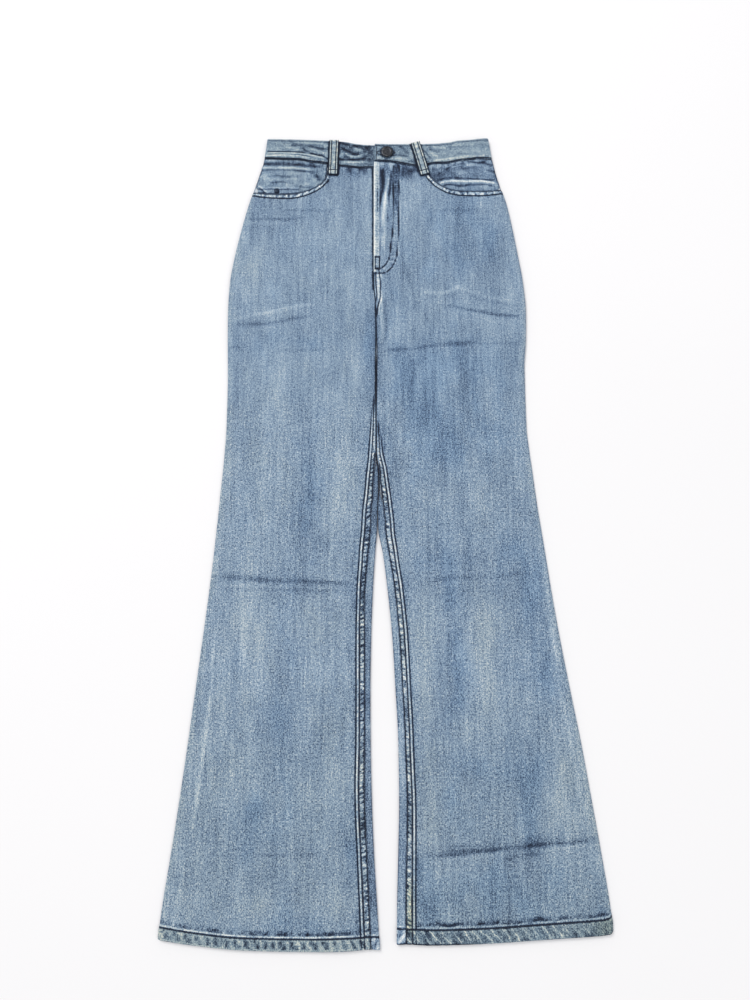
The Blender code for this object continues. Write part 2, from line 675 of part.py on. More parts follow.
def build():
    for obj in list(bpy.data.objects):
        bpy.data.objects.remove(obj, do_unlink=True)
    jeans = bpy.data.collections.new("flared_jeans")
    bpy.context.scene.collection.children.link(jeans)
    denim = material("denim", DENIM, 0.9)
    dark = material("denim_inside", DENIM_DARK, 0.92)
    metal = material("metal", METAL, 0.35, 1.0)
    tape = material("zip_tape", (0.08, 0.1, 0.15), 0.8)

    for side in ("right", "left"):
        sheet(f"front_{side}_leg", front_leg(side), CLOTH, denim, jeans, HEM_ROWS)
        sheet(f"back_{side}_leg", back_leg(side), CLOTH, denim, jeans, HEM_ROWS)
        sheet(f"yoke_{side}", yoke(side), CLOTH, denim, jeans)
        sheet(f"pocket_facing_{side}", facing(side), CLOTH, dark, jeans)
        sheet(f"back_pocket_{side}", back_pocket(side), CLOTH, denim, jeans)
    sheet("coin_pocket", coin_pocket(), CLOTH, denim, jeans)
    sheet("waistband", waistband(), BAND_WALL, denim, jeans)
    for name, *numbers in LOOPS:
        sheet(name, belt_loop(*numbers), CLOTH if numbers[-1] else LOOP_WALL, denim, jeans)
    sheet("fly_shield", fly_shield(), CLOTH, dark, jeans)
    sheet("zip", zip_tape(), 0.8, tape, jeans)
    slider_z = level("back", 450.0) + LAYER + CLOTH / 2 + SEAM + 0.8 + 0.25 + SEAM + 0.5
    rounded_block("zip_slider", (-4.0, FLY["y_top"] - 12, slider_z), (7.0, 11.0, 1.0), 0.3, metal, jeans)

    base = on_facing(RIVET["x"], RIVET["y"] + RIVET["radius"], 1.0) + CLOTH / 2 + SEAM
    r, h = RIVET["radius"], RIVET["height"]
    turned("coin_rivet", [(0, h), (r * 0.55, h), (r * 0.9, h * 0.6), (r, h * 0.2), (r, 0), (0, 0)], (RIVET["x"], RIVET["y"], base), 12, metal, jeans)

    base = BAND_LEVEL["over"] + BAND_WALL / 2 + SEAM
    r, h, n = BUTTON["head_radius"], BUTTON["head_height"], BUTTON["neck_radius"]
    turned(
        "waist_button",
        [(0, 0.6 + h), (r * 0.55, 0.55 + h), (r * 0.88, 0.3 + h), (r, h - 0.2), (r, 0.9), (r * 0.9, 0.6), (n, 0.6), (n, 0), (0, 0)],
        (BUTTON["x"], BUTTON["y"], base),
        20,
        metal,
        jeans,
    )
    for obj in jeans.objects:
        obj.location.x += CENTRE[0] * MM
        obj.location.y += CENTRE[1] * MM


build()
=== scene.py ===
"""Looks of the flared jeans: fine cloth pieces on the CAD solids' form, topstitching,
washed denim, worn metal, a pale floor, soft light and the camera.

The tables and the plain forms repeat those of the CAD source, in millimetres, in the
same frame. "right" and "left" are the wearer's, so the wearer's right is at -X.
Every cloth piece is a grid on its middle surface. fields() adds what wear, seams and
folds do to it: a shift along its normal, a tone (+ worn light and painted highlights,
- dark indigo and painted shade in creases, grooves, crevices and along edges) and the
strength of the fine pucker beside a seam.
"""

import math

import bpy
import numpy as np
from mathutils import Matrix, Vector


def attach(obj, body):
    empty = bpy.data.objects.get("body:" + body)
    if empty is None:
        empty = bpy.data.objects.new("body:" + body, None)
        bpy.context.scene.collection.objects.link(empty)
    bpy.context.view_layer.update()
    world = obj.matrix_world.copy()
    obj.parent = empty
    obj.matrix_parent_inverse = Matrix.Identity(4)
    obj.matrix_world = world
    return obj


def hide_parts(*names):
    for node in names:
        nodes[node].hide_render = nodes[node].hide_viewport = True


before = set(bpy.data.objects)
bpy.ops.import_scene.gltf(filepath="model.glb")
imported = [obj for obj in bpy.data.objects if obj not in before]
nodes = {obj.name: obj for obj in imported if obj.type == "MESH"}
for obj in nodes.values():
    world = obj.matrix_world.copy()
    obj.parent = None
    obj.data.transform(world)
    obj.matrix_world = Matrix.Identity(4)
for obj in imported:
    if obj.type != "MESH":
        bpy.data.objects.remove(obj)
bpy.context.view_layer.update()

MM = 0.001
CLOTH = 1.1
HEM_DEPTH = {"right": 15.0, "left": 19.0}
BAND_WALL = 2.0
LOOP_WALL = 1.6
SEAM = 0.3
LAYER = CLOTH + SEAM
SIDE_ROUND = 5.5
FLY_LIFT = 1.3
CENTRE = (1.0, 0.5)

SECTIONS = [
    # y,   right_out, right_in, right_strip, left_strip, left_in, left_out
    (-570, -293.0, -8.5, 9.6, 10.4, 13.2, 291.0),
    (-520, -288.6, -11.5, 8.8, 9.8, 13.4, 287.6),
    (-450, -279.4, -16.0, 7.8, 9.5, 15.2, 278.6),
    (-380, -270.6, -19.0, 7.9, 9.0, 16.8, 268.4),
    (-310, -262.6, -20.6, 6.4, 7.9, 16.0, 258.0),
    (-240, -255.0, -21.0, 5.9, 8.2, 12.4, 246.0),
    (-170, -247.4, -19.9, 7.3, 8.4, 8.3, 234.6),
    (-110, -241.2, -17.6, 9.5, 8.6, 2.4, 226.0),
    (-60, -236.6, -14.6, 8.2, 7.2, -3.9, 219.6),
    (-22, -233.6, -11.7, 7.6, 8.8, -10.7, 214.6),
    (0, -231.9, -11.3, 7.0, 7.0, -10.9, 211.6),
    (25, -230.2, -10.0, 6.3, 2.8, -9.6, 208.8),
    (55, -227.9, -10.0, 4.9, 0.3, -9.6, 205.6),
    (85, -226.1, -13.0, 0.6, 0.0, -12.6, 202.2),
    (120, -224.8, -13.2, 0.2, 0.0, -12.8, 199.3),
    (165, -224.7, -13.6, 0.0, 0.0, -13.2, 199.0),
    (205, -225.4, -13.4, 0.0, 0.0, -13.0, 199.1),
    (250, -226.8, -13.2, 0.0, 0.0, -12.8, 202.3),
    (295, -227.6, -14.2, 0.0, 0.0, -13.8, 203.5),
    (335, -226.2, -17.2, 0.0, 0.0, -16.8, 200.8),
    (380, -219.6, -17.2, 0.0, 0.0, -16.8, 194.3),
    (420, -211.2, -17.2, 0.0, 0.0, -16.8, 187.8),
    (460, -201.4, -17.2, 0.0, 0.0, -16.8, 180.0),
    (500, -188.8, -17.2, 0.0, 0.0, -16.8, 167.6),
    (535, -180.0, -17.2, 0.0, 0.0, -16.8, 159.9),
    (570, -176.2, -17.2, 0.0, 0.0, -16.8, 154.8),
]
COLUMN = {"right_out": 1, "right_in": 2, "right_strip": 3, "left_strip": 4, "left_in": 5, "left_out": 6}

LEVELS = [
    # y,   back, side seam, front
    (-570, 0.55, 1.60, 3.85),
    (150, 0.55, 1.60, 3.85),
    (195, 0.60, 1.70, 4.10),
    (262, 1.95, 3.00, 5.75),
    (330, 1.95, 3.00, 6.15),
    (570, 1.95, 3.00, 6.15),
]

HEMS = {
    "right": [(0.0, -551.7), (0.17, -558.8), (0.38, -564.4), (0.55, -565.8), (0.72, -566.3), (0.89, -565.1), (1.0, -563.2)],
    "left": [(0.0, -541.6), (0.012, -544.6), (0.04, -546.6), (0.16, -549.1), (0.37, -552.7), (0.59, -556.6), (0.87, -558.7), (1.0, -557.4)],
}
WAIST_SEAM = {
    "right": [(-182, 532.0), (-156, 531.1), (-127, 530.2), (-112, 527.0), (-97, 525.4), (-86, 523.8), (-67, 519.7), (-52, 518.1), (-37, 516.6), (-22, 517.0), (30, 516.4)],
    "left": [(-20, 526.6), (3, 525.9), (15, 524.4), (30, 521.5), (45, 519.1), (56, 520.5), (67, 523.1), (76, 524.3), (90, 524.4), (97, 525.6), (112, 528.8), (127, 530.5), (142, 532.1), (151, 531.8), (164, 530.6)],
}
WAIST_TOP = {
    "right": [(-182, 564.2), (-130, 563.0), (-85, 561.0), (-60, 559.0), (-42, 555.6), (-22, 553.8), (30, 553.2)],
    "left": [(-20, 554.6), (20, 554.0), (44, 554.6), (66, 556.0), (82, 556.9), (97, 558.6), (112, 561.8), (127, 562.7), (142, 564.7), (152, 565.2), (164, 565.2)],
}
SCOOPS = {
    "right": [(-197.0, 477.6), (-182.0, 475.6), (-165.0, 474.9), (-148.0, 474.6), (-135.0, 475.4), (-122.0, 478.2), (-109.0, 483.2), (-97.0, 490.2), (-89.5, 498.6), (-86.0, 510.6), (-84.5, 524.6)],
    "left": [(176.0, 481.4), (151.0, 479.5), (126.0, 479.5), (110.0, 480.2), (96.4, 482.5), (89.0, 485.7), (81.0, 490.2), (74.3, 495.6), (67.0, 503.6), (62.5, 510.5), (60.0, 523.0)],
}
POCKET_BOTTOM = 458.0
POCKET_INNER = {"right": -74.0, "left": 47.0}
COIN = {"y_top": 486.0, "y_bottom": 459.0, "x_outer": -188.0, "x_inner": -128.0}
RIVET = {"x": -160.6, "y": 479.6, "radius": 3.6, "height": 1.0}
YOKE_SEAM = {"side": 497.0, "centre": 452.0}
BACK_CENTRE = -11.0
BACK_POCKET = {"inner": 30.0, "width_top": 142.0, "width_bottom": 126.0, "y_top": 432.0, "y_side": 296.0, "y_point": 277.0, "lean": 7.0}
FLY = {"y_bottom": 350.0, "y_top": 516.0, "shield_width": 44.0, "tape_width": 28.0, "chain_width": 4.6}
BUTTON = {"x": 3.0, "y": 540.5, "head_radius": 8.5, "head_height": 2.4, "neck_radius": 3.0}
LOOPS = [
    # name,                    x_top,   y_top, x_bottom, y_bottom, width, on the back
    ("belt_loop_front_right", -76.0, 561.0, -77.4, 505.3, 13.0, False),
    ("belt_loop_front_left", 45.2, 556.2, 59.6, 504.6, 13.0, False),
    ("belt_loop_side_right", -118.0, 560.0, -122.0, 503.0, 12.0, True),
    ("belt_loop_side_left", 99.0, 558.0, 103.0, 503.0, 12.0, True),
    ("belt_loop_back", -11.0, 552.0, -11.0, 493.0, 12.0, True),
]
BAND_LEVEL = {"back": 2.4, "front": 5.6, "over": 7.9}
BAND_OVER = -15.0

# ---------------------------------------------------------------- sewing, wear and painted shade, in millimetres

# The inseam: its first stitched row is this far from the front panel's edge, and the
# lapped seam's other side is this much further out at each height. The second row
# lies LAP_TURN inside that, where the lap is wide, with a rubbed ridge between them.
ROW_IN = 1.2
LAP_TURN = 4.4
ROW_GAP = {
    "right": [(-565, 12.0), (-510, 12.1), (-456, 12.0), (-407, 12.2), (-357, 11.8), (-306, 11.2), (-255, 11.3), (-209, 11.4), (-164, 11.3), (-122, 10.3), (-82, 10.9), (-47, 12.0), (-12, 11.8), (16, 11.2), (44, 9.9), (72, 8.7), (101, 6.9), (125, 5.2), (150, 3.1), (165, 0.9)],
    "left": [(-565, 12.0), (-525, 12.2), (-448, 11.5), (-385, 10.6), (-346, 10.1), (-306, 10.0), (-255, 10.2), (-209, 10.5), (-164, 10.7), (-122, 10.5), (-82, 10.6), (-47, 11.4), (-12, 11.4), (16, 11.3), (44, 10.3), (72, 7.8), (101, 4.8), (118, 2.4), (133, 0.1)],
}
ROW_TOP = {"right": 163.0, "left": 127.0}
FIRST_ROW_TOP = {"right": 84.0, "left": 68.0}
HEM_ROW = {"right": 14.3, "left": 18.0}
# The scoop's two stitched rows: the first one's distance from its edge, and the
# second one's by the share of the way from the side to the waist seam.
SCOOP_IN = 1.0
SCOOP_OUT = {
    "right": [(0.0, 5.4), (0.25, 6.8), (0.45, 7.4), (0.62, 6.8), (0.80, 5.0), (1.0, 4.4)],
    "left": [(0.0, 6.1), (0.32, 7.8), (0.55, 7.2), (0.75, 6.4), (1.0, 5.3)],
}
J_INNER = [(12.4, 519), (12.3, 500), (12.1, 472.6), (12.0, 432.7), (10.4, 409), (8.4, 393.3), (7.2, 380.8), (5.5, 371.4), (1.8, 364.4), (-2.6, 359), (-8.4, 356.2), (-14.8, 355.9)]
J_OUTER = [(21.0, 519), (20.8, 500), (20.4, 472.6), (20.2, 440.6), (19.5, 413.7), (18.4, 393.3), (17.6, 380.8), (15.7, 371.4), (12.7, 363.6), (7.6, 355.9), (1.8, 351.2), (-4.1, 349.2), (-14.8, 349.2)]
TACK_BOX = [(-14.6, 356.2), (-14.6, 374.4), (-8.4, 374.4), (-8.4, 356.2), (-14.6, 356.2)]
RISE_IN = [(-14.6, 349.2), (-13.9, 345.6), (-13.8, 333), (-12.4, 322), (-12.3, 314), (-13.6, 306.0)]
RISE_OUT = [(-9.0, 355), (-8.7, 348.7), (-7.3, 338), (-7.0, 330), (-7.2, 321), (-7.0, 315), (-8.6, 305.6), (-10.6, 298), (-11.7, 285.7)]


# Folds and rubbed lines on the fronts: side, points, half width, height (+ ridge,
# - trough), wash (+ worn light and painted highlight on ridges, - dark indigo and painted shade in troughs).
CREASES = [
    # the cross fold at the knee
    ("right", [(-238, -92), (-199, -93.5), (-157, -96), (-114, -98), (-70, -100.5), (-38, -102)], 3.0, -0.70, -0.68),
    ("right", [(-238, -92), (-190, -94), (-120, -98), (-60, -102)], 6.0, -0.35, -0.30),
    ("right", [(-236, -101), (-199, -103), (-157, -105), (-114, -106.5), (-75, -106.5), (-40, -108)], 2.0, 0.45, 0.14),
    ("right", [(-238, -110), (-171, -109), (-103, -111), (-44, -111)], 2.2, -0.25, -0.26),
    ("right", [(-140, -109), (-102, -111), (-60, -111), (-40, -110)], 4.5, -0.20, -0.26),
    ("left", [(60, -94.5), (78, -94.6), (95, -93.5), (125, -92.5)], 2.8, -0.36, -0.48),
    ("left", [(120, -93), (156, -90), (200, -86)], 3.4, -0.25, -0.26),
    ("left", [(60, -105), (104, -101), (170, -98)], 2.2, 0.25, 0.14),
    # the cross fold low on the left leg, and its faint twin
    ("left", [(36, -453), (82, -450), (98, -448.4), (128, -445.4), (173, -440.6), (199, -438.2), (238, -435.4), (279, -430)], 3.1, -0.72, -0.92),
    ("left", [(60, -446), (128, -440), (199, -433), (240, -431)], 6.5, -0.30, -0.40),
    ("left", [(36, -460), (82, -456.5), (121, -453), (147, -450), (199, -445.5), (278, -437)], 1.9, 0.50, 0.26),
    ("left", [(150, -452), (186, -449.6), (206, -448)], 5.0, -0.2, -0.50),
    ("right", [(-168, -450.5), (-127, -450.6), (-84, -450)], 1.9, -0.25, -0.52),
    # the cross fold below the crotch
    ("right", [(-225, 237), (-216, 236.4), (-206, 235)], 3.0, -0.4, -0.40),
    ("right", [(-160, 234.4), (-137, 232), (-115, 232.3), (-96, 234), (-72, 234)], 1.9, -0.30, -0.36),
    ("left", [(-6, 231.5), (10, 232.6), (40.5, 235.2), (68.5, 239.6), (108, 242.6), (130, 243.4)], 3.0, -0.62, -0.72),
    ("left", [(110, 245), (150, 244), (196, 242.5)], 2.4, -0.3, -0.42),
    ("left", [(-4, 239), (30, 244), (80, 250), (130, 252)], 4.0, 0.15, 0.02),
    # creases across the hips
    ("right", [(-224, 278.6), (-204, 281.5), (-186, 285.5), (-168, 289.1), (-144, 295.5), (-116, 300), (-96, 303)], 2.8, 0.60, 0.44),
    ("right", [(-182, 287), (-160, 287.6), (-136, 291.4)], 2.2, 0.3, 0.12),
    ("right", [(-224, 270.2), (-200, 271.2), (-168, 272.8), (-150, 276), (-139.7, 278.4), (-103.7, 285)], 2.5, -0.60, -0.66),
    ("right", [(-216, 300), (-190, 303), (-160, 306)], 4.5, -0.25, -0.20),
    ("left", [(52, 318), (60, 321), (72, 319.4), (85.5, 318.9), (100, 325), (112, 329.6)], 2.2, 0.5, 0.62),
    ("left", [(88, 334.5), (113.9, 325.3), (145.9, 314.6), (190, 304)], 2.2, 0.4, 0.34),
    ("left", [(58, 304), (90, 306), (128, 304)], 4.0, 0.3, 0.16),
    ("left", [(88, 301), (110, 296), (129.3, 292.1), (153.3, 287), (176, 285), (201, 283.4)], 2.1, -0.60, -0.86),
    ("left", [(110, 291), (150, 281), (200, 276)], 4.0, 0.25, 0.08),
    ("left", [(110, 323), (140, 309), (196, 298)], 2.0, -0.3, -0.34),
    ("left", [(26, 368), (30, 352), (38, 330), (44, 306), (45, 290)], 2.6, -0.35, -0.50),
    ("right", [(-214, 437), (-196, 434.6), (-167, 434.6), (-146, 433.4), (-130, 435), (-101, 438.6)], 1.6, -0.35, -0.52),
    ("right", [(-212, 430), (-180, 429), (-140, 428)], 2.6, 0.3, 0.24),
    ("right", [(-151, 449.6), (-120, 448), (-68, 446.5)], 1.7, -0.3, -0.50),
    ("left", [(64, 446), (100, 449), (150, 447)], 2.2, -0.3, -0.34),
    ("left", [(96, 402), (108, 376), (112, 352)], 3.6, -0.25, -0.34),
    # over the fly: a ridge that widens as it goes down, between a hard valley and the fly's strip; the ridge is painted
    # light and the valleys painted shade
    ("left", [(6.4, 508), (4.4, 493), (1.8, 478), (-0.4, 462), (-2.2, 444), (-3.4, 426)], 1.5, 1.15, 1.75),
    ("left", [(2.2, 482), (-0.4, 455), (-2.4, 425), (-2.2, 400), (-1.0, 382)], 4.2, 0.55, 0.90),
    ("left", [(10.4, 516), (9.0, 500), (7.0, 484), (5.6, 466)], 1.6, -0.70, -3.0),
    ("left", [(5.8, 472), (4.6, 448), (3.0, 422)], 1.2, -0.50, -1.5),
    ("left", [(3.0, 426), (2.2, 404), (2.4, 380)], 1.1, -0.30, -1.1),
    ("left", [(-6.4, 521), (-4.8, 506), (-4.4, 488), (-5.8, 470), (-7.4, 452)], 1.5, -0.55, -2.9),
    ("left", [(-2.6, 519), (-0.9, 504), (-1.5, 489), (-4.0, 472)], 1.8, -0.50, -2.4),
    ("left", [(-3.4, 424), (-4.4, 404), (-4.0, 384)], 1.2, -0.20, -0.8),
    # the soft fold beside the crotch
    ("left", [(-8.4, 318), (-6.0, 298), (-5.2, 275), (-6.8, 252), (-9.6, 236)], 3.0, 1.05, 0.40),
    ("left", [(-3.4, 316), (0.2, 297), (1.6, 277), (0.2, 256), (-4.2, 238)], 2.6, -0.8, -0.62),
    ("right", [(-24, 316), (-21, 290), (-20, 262), (-21, 235)], 5.0, 0.35, 0.10),
    # rubbed lines along the outseam's turned edge
    ("right", [(-229, -130), (-231.4, -169.4), (-235.9, -264.6), (-243.1, -338.2), (-251.9, -413.1), (-262.3, -477.3), (-273, -541)], 1.4, 0.45, 0.74),
    ("left", [(224, -160), (228.8, -202.5), (238.3, -267.8), (246.2, -319.1), (253.8, -372.1), (261, -397), (266, -420)], 1.4, 0.45, 0.70),
    ("left", [(217, -60), (224, -160), (230, -210)], 1.5, 0.3, 0.26),
    ("right", [(-219, 90), (-221, 0), (-226, -60)], 2.0, 0.2, 0.22),
    ("right", [(-164, 112), (-161, 70), (-160, 20)], 1.8, 0.15, 0.42),
    ("right", [(-187, 90), (-179, 50), (-172, 10)], 1.8, 0.15, 0.34),
    ("right", [(-58, 80), (-66, 30), (-73, -20)], 2.4, 0.15, 0.34),
    ("left", [(185.5, -470), (185, -500), (183.4, -528)], 1.3, 0.2, 0.55),
    ("left", [(101, -480), (103, -500), (107, -524)], 1.6, 0.2, 0.42),
    ("left", [(130, -470), (128, -490), (129, -516)], 1.6, 0.15, 0.30),
    ("right", [(-192, -132), (-191, -170), (-193, -214)], 2.4, 0.1, 0.42),
    ("right", [(-175, -150), (-174, -200), (-177, -250)], 2.6, 0.1, 0.46),
    ("right", [(-100, -560), (-104, -530), (-101, -500)], 2.0, 0.1, 0.24),
    # small dents
    ("right", [(-120, 395), (-112, 372), (-108, 350)], 7.0, -0.25, -0.07),
    ("left", [(46, 420), (42, 392), (44, 362)], 6.0, 0.35, 0.07),
    ("left", [(104, 452), (112, 430), (124, 408)], 8.0, -0.3, -0.08),
    ("right", [(-150, 150), (-142, 90), (-146, 30)], 11.0, 0.3, 0.07),
    ("left", [(92, 130), (86, 60), (92, -10)], 11.0, -0.3, -0.08),
]

# Washed and dark patches on the fronts: x, y, half width, half height, wash.
PATCHES = [
    # warm, rubbed
    (-194, 360, 22, 40, 0.26),
    (-60, 330, 34, 60, 0.12),
    (-120, 215, 60, 24, 0.12),
    (-178, 60, 40, 90, 0.17),
    (-62, 30, 26, 110, 0.20),
    (-184, -190, 26, 90, 0.24),
    (-92, -150, 22, 34, 0.24),
    (-70, -290, 40, 90, 0.16),
    (-226, -330, 22, 120, 0.16),
    (-72, -508, 26, 22, 0.24),
    (-160, -514, 20, 18, 0.26),
    (-232, -480, 24, 50, 0.12),
    (54, -230, 16, 130, 0.28),
    (55, -390, 14, 60, 0.22),
    (130, -170, 22, 60, 0.34),
    (138, -235, 16, 30, 0.22),
    (236, -370, 20, 60, 0.30),
    (120, -500, 50, 24, 0.10),
    (60, 320, 26, 22, 0.14),
    (120, 30, 24, 60, 0.10),
    (180, 330, 20, 80, 0.10),
    (22, 262, 16, 18, 0.16),
    # full and blue
    (110, 420, 80, 70, -0.26),
    (60, 170, 60, 120, -0.16),
    (130, -500, 110, 34, -0.44),
    (-100, 70, 18, 70, -0.30),
    (-112, 0, 18, 40, -0.22),
    (-70, 365, 14, 40, -0.22),
    (-165, 250, 70, 18, -0.16),
    (-100, 244, 40, 10, -0.14),
    (-24, 250, 12, 44, -0.40),
    (-134, -280, 20, 80, -0.24),
    (-128, -190, 10, 40, -0.26),
    (-172, -392, 14, 14, -0.42),
    (-160, -410, 26, 34, -0.24),
    (-182, -448, 16, 18, -0.34),
    (-47, -446, 9, 14, -0.34),
    (-120, -536, 60, 14, -0.24),
    (36, 190, 20, 60, -0.34),
    (62, 130, 24, 60, -0.40),
    (84, 84, 18, 26, -0.34),
    (130, 130, 60, 90, -0.18),
    (110, 220, 90, 30, -0.16),
    (168, 140, 16, 40, -0.16),
    (84, -66, 34, 20, -0.36),
    (184, -58, 30, 26, -0.34),
    (86, -110, 12, 30, -0.36),
    (94, -170, 13, 60, -0.40),
    (102, -240, 13, 36, -0.36),
    (200, -130, 18, 70, -0.40),
    (212, -226, 16, 40, -0.34),
    (186, -350, 22, 34, -0.50),
    (188, -415, 16, 40, -0.40),
    (114, -340, 26, 22, -0.34),
    (88, -372, 16, 30, -0.30),
    (150, -400, 50, 40, -0.10),
    (56, -512, 18, 16, -0.36),
    (46, -468, 12, 18, -0.26),
    (276, -520, 10, 12, -0.40),
    (40, 350, 26, 40, -0.10),
    (140, 400, 50, 60, -0.08),
    (-60, -60, 40, 40, -0.08),
]


# ---------------------------------------------------------------- curves and noise


def smooth(low, high, value):
    t = np.clip((np.asarray(value, float) - low) / (high - low), 0.0, 1.0)
    return t * t * (3.0 - 2.0 * t)


class Curve:
    """A smooth curve through one column of a table, as in the CAD source."""

    def __init__(self, rows, column=1):
        rows = sorted(rows)
        self.x = np.array([r[0] for r in rows], float)
        self.y = np.array([r[column] for r in rows], float)
        slope = np.diff(self.y) / np.diff(self.x)
        tangent = np.zeros_like(self.y)
        tangent[0], tangent[-1] = slope[0], slope[-1]
        before, after = slope[:-1], slope[1:]
        same = before * after > 0
        total = np.where(same, before + after, 1.0)
        tangent[1:-1] = np.where(same, 2 * before * after / total, 0.0)
        self.tangent = tangent

    def __call__(self, at):
        at = np.clip(np.asarray(at, float), self.x[0], self.x[-1])
        i = np.clip(np.searchsorted(self.x, at, side="right") - 1, 0, len(self.x) - 2)
        step = self.x[i + 1] - self.x[i]
        t = (at - self.x[i]) / step
        m0, m1 = self.tangent[i] * step, self.tangent[i + 1] * step
        return (2 * t**3 - 3 * t**2 + 1) * self.y[i] + (t**3 - 2 * t**2 + t) * m0 + (3 * t**2 - 2 * t**3) * self.y[i + 1] + (t**3 - t**2) * m1


def lattice(i, j, seed):
    value = np.sin(i * 127.1 + j * 311.7 + seed * 74.7) * 43758.5453
    return (value - np.floor(value)) * 2.0 - 1.0


def noise(x, y=0.0, seed=0):
    """Smooth noise from -1 to 1, one bump to each unit."""
    x, y = np.broadcast_arrays(np.asarray(x, float), np.asarray(y, float))
    i, j = np.floor(x), np.floor(y)
    u, v = x - i, y - j
    u, v = u * u * (3 - 2 * u), v * v * (3 - 2 * v)
    low = lattice(i, j, seed) * (1 - u) + lattice(i + 1, j, seed) * u
    high = lattice(i, j + 1, seed) * (1 - u) + lattice(i + 1, j + 1, seed) * u
    return low * (1 - v) + high * v


def bent(points, step=3.0):
    """A smooth line through a few points, with a point about every step."""
    p = np.array(points, float)
    if len(p) == 2:
        n = max(2, int(np.hypot(*(p[1] - p[0])) / step) + 1)
        return p[0] + (p[1] - p[0]) * np.linspace(0, 1, n)[:, None]
    ends = np.vstack([2 * p[0] - p[1], p, 2 * p[-1] - p[-2]])
    out = []
    for a, b, c, d in zip(ends, ends[1:], ends[2:], ends[3:]):
        n = max(1, int(np.linalg.norm(c - b) / step))
        t = (np.arange(n) / n)[:, None]
        out.append(0.5 * (2 * b + (c - a) * t + (2 * a - 5 * b + 4 * c - d) * t**2 + (3 * b - a - 3 * c + d) * t**3))
    return np.vstack(out + [p[-1:]])


class Line:
    def __init__(self, points, step=3.0):
        self.p = bent(points, step)
        self.seg = np.diff(self.p[:, :2], axis=0)
        self.len = np.hypot(self.seg[:, 0], self.seg[:, 1])
        self.start = np.concatenate([[0.0], np.cumsum(self.len)])
        self.total = self.start[-1]

    def near(self, x, y, reach):
        """The points within reach of the line: which ones, how far to its left, and how far along it."""
        low, high = self.p[:, :2].min(0) - reach, self.p[:, :2].max(0) + reach
        which = np.nonzero((x > low[0]) & (x < high[0]) & (y > low[1]) & (y < high[1]))[0]
        px, py = x[which], y[which]
        best = np.full(len(which), 1e9)
        off, along = np.zeros(len(which)), np.zeros(len(which))
        for (ax, ay), (dx, dy), length, start in zip(self.p[:, :2], self.seg, self.len, self.start):
            t = np.clip(((px - ax) * dx + (py - ay) * dy) / (length * length + 1e-12), 0, 1)
            qx, qy = px - ax - t * dx, py - ay - t * dy
            dist = np.hypot(qx, qy)
            closer = dist < best
            best = np.where(closer, dist, best)
            off = np.where(closer, dist * np.where(dx * qy - dy * qx >= 0, 1.0, -1.0), off)
            along = np.where(closer, start + t * length, along)
        return which, off, along


class Field:
    """What is added to a cloth's plain form at a set of points."""

    def __init__(self, x, y):
        self.shape = np.shape(x)
        self.x, self.y = np.ravel(x).astype(float), np.ravel(y).astype(float)
        n = len(self.x)
        self.rise, self.wash, self.rope, self.lines, self.stain, self.worn = (np.zeros(n) for _ in range(6))
        self.seam = np.zeros((n, 2))

    # A fold's relief and tone: painted shade in troughs and painted light on ridges, along with the cloth's wear.
    def crease(self, points, width, height, wash, seed=0, taper=0.16):
        line = Line(points, 4.0)
        which, off, along = line.near(self.x, self.y, 3.5 * width)
        t = along / line.total
        ends = smooth(-0.02, taper, t) * (1 - smooth(1 - taper, 1.02, t))
        uneven = 0.84 + 0.30 * noise(along / 21, 0, seed) + 0.18 * noise(along / 6, 0, seed + 5)
        wide = width * (1 + 0.30 * noise(along / 33, 0, seed + 9))
        shift = 0.22 * width * noise(along / 17, 0, seed + 13)
        shape = np.exp(-(((off - shift) / wide) ** 2))
        self.rise[which] += height * ends * uneven * shape
        self.wash[which] += wash * ends * uneven * shape

    def groove(self, points, width=0.85, depth=0.32, wash=-0.55, step=2.0):
        """What a row of stitches does: a narrow groove, darkened with painted shade."""
        line = Line(points, step)
        which, off, along = line.near(self.x, self.y, 4 * width)
        shape = np.exp(-((off / width) ** 2))
        self.rise[which] -= depth * shape
        self.wash[which] += wash * shape

    def pucker(self, points, low, high, period, height, wash, rope, slant=0.3, seed=0, step=2.5, lean=0.0):
        """Small pleats across a seam, between two distances to the left of a line."""
        line = Line(points, step)
        reach = max(abs(low), abs(high)) + 2
        which, off, along = line.near(self.x, self.y, reach)
        edge = min(1.2, 0.3 * (high - low))
        shape = smooth(low - edge, low + edge, off) * (1 - smooth(high - edge, high + edge, off))
        turn = 2 * math.pi * (along + slant * off) / period + 2.2 * noise(along / (2.6 * period), 0, seed)
        wave = np.sin(turn) * (0.7 + 0.5 * noise(along / (1.3 * period), 0, seed + 3))
        self.rise[which] += height * wave * shape
        self.wash[which] += (wash * wave + lean) * shape
        self.rope_on(which, rope * shape, along + slant * off, off)

    def rope_on(self, which, strength, along, across):
        stronger = strength > self.rope[which]
        self.rope[which] = np.where(stronger, strength, self.rope[which])
        self.seam[which, 0] = np.where(stronger, along, self.seam[which, 0])
        self.seam[which, 1] = np.where(stronger, across, self.seam[which, 1])

    def grid(self, values):
        return values.reshape(self.shape)


# ---------------------------------------------------------------- plain forms, as in the CAD source

OUTLINE = {name: Curve(SECTIONS, column) for name, column in COLUMN.items()}
LEVEL = {name: Curve(LEVELS, column) for name, column in (("back", 1), ("side", 2), ("front", 3))}
HEM = {side: Curve(HEMS[side]) for side in HEMS}
SEAM_LINE = {side: Curve(WAIST_SEAM[side]) for side in WAIST_SEAM}
TOP_LINE = {side: Curve(WAIST_TOP[side]) for side in WAIST_TOP}
GAP = {side: Curve(ROW_GAP[side]) for side in ROW_GAP}
SIDES = ("right", "left")


def outward(side):
    return -1.0 if side == "right" else 1.0


def legs_apart(y):
    return 1.0 - smooth(196.0, 258.0, y)


def outer_x(side, y):
    return OUTLINE[side + "_out"](y) - outward(side) * CLOTH / 2


def inner_x(side, y):
    return OUTLINE[side + "_in"](y) + outward(side) * CLOTH / 2 * (1.0 - smooth(228.0, 262.0, y))


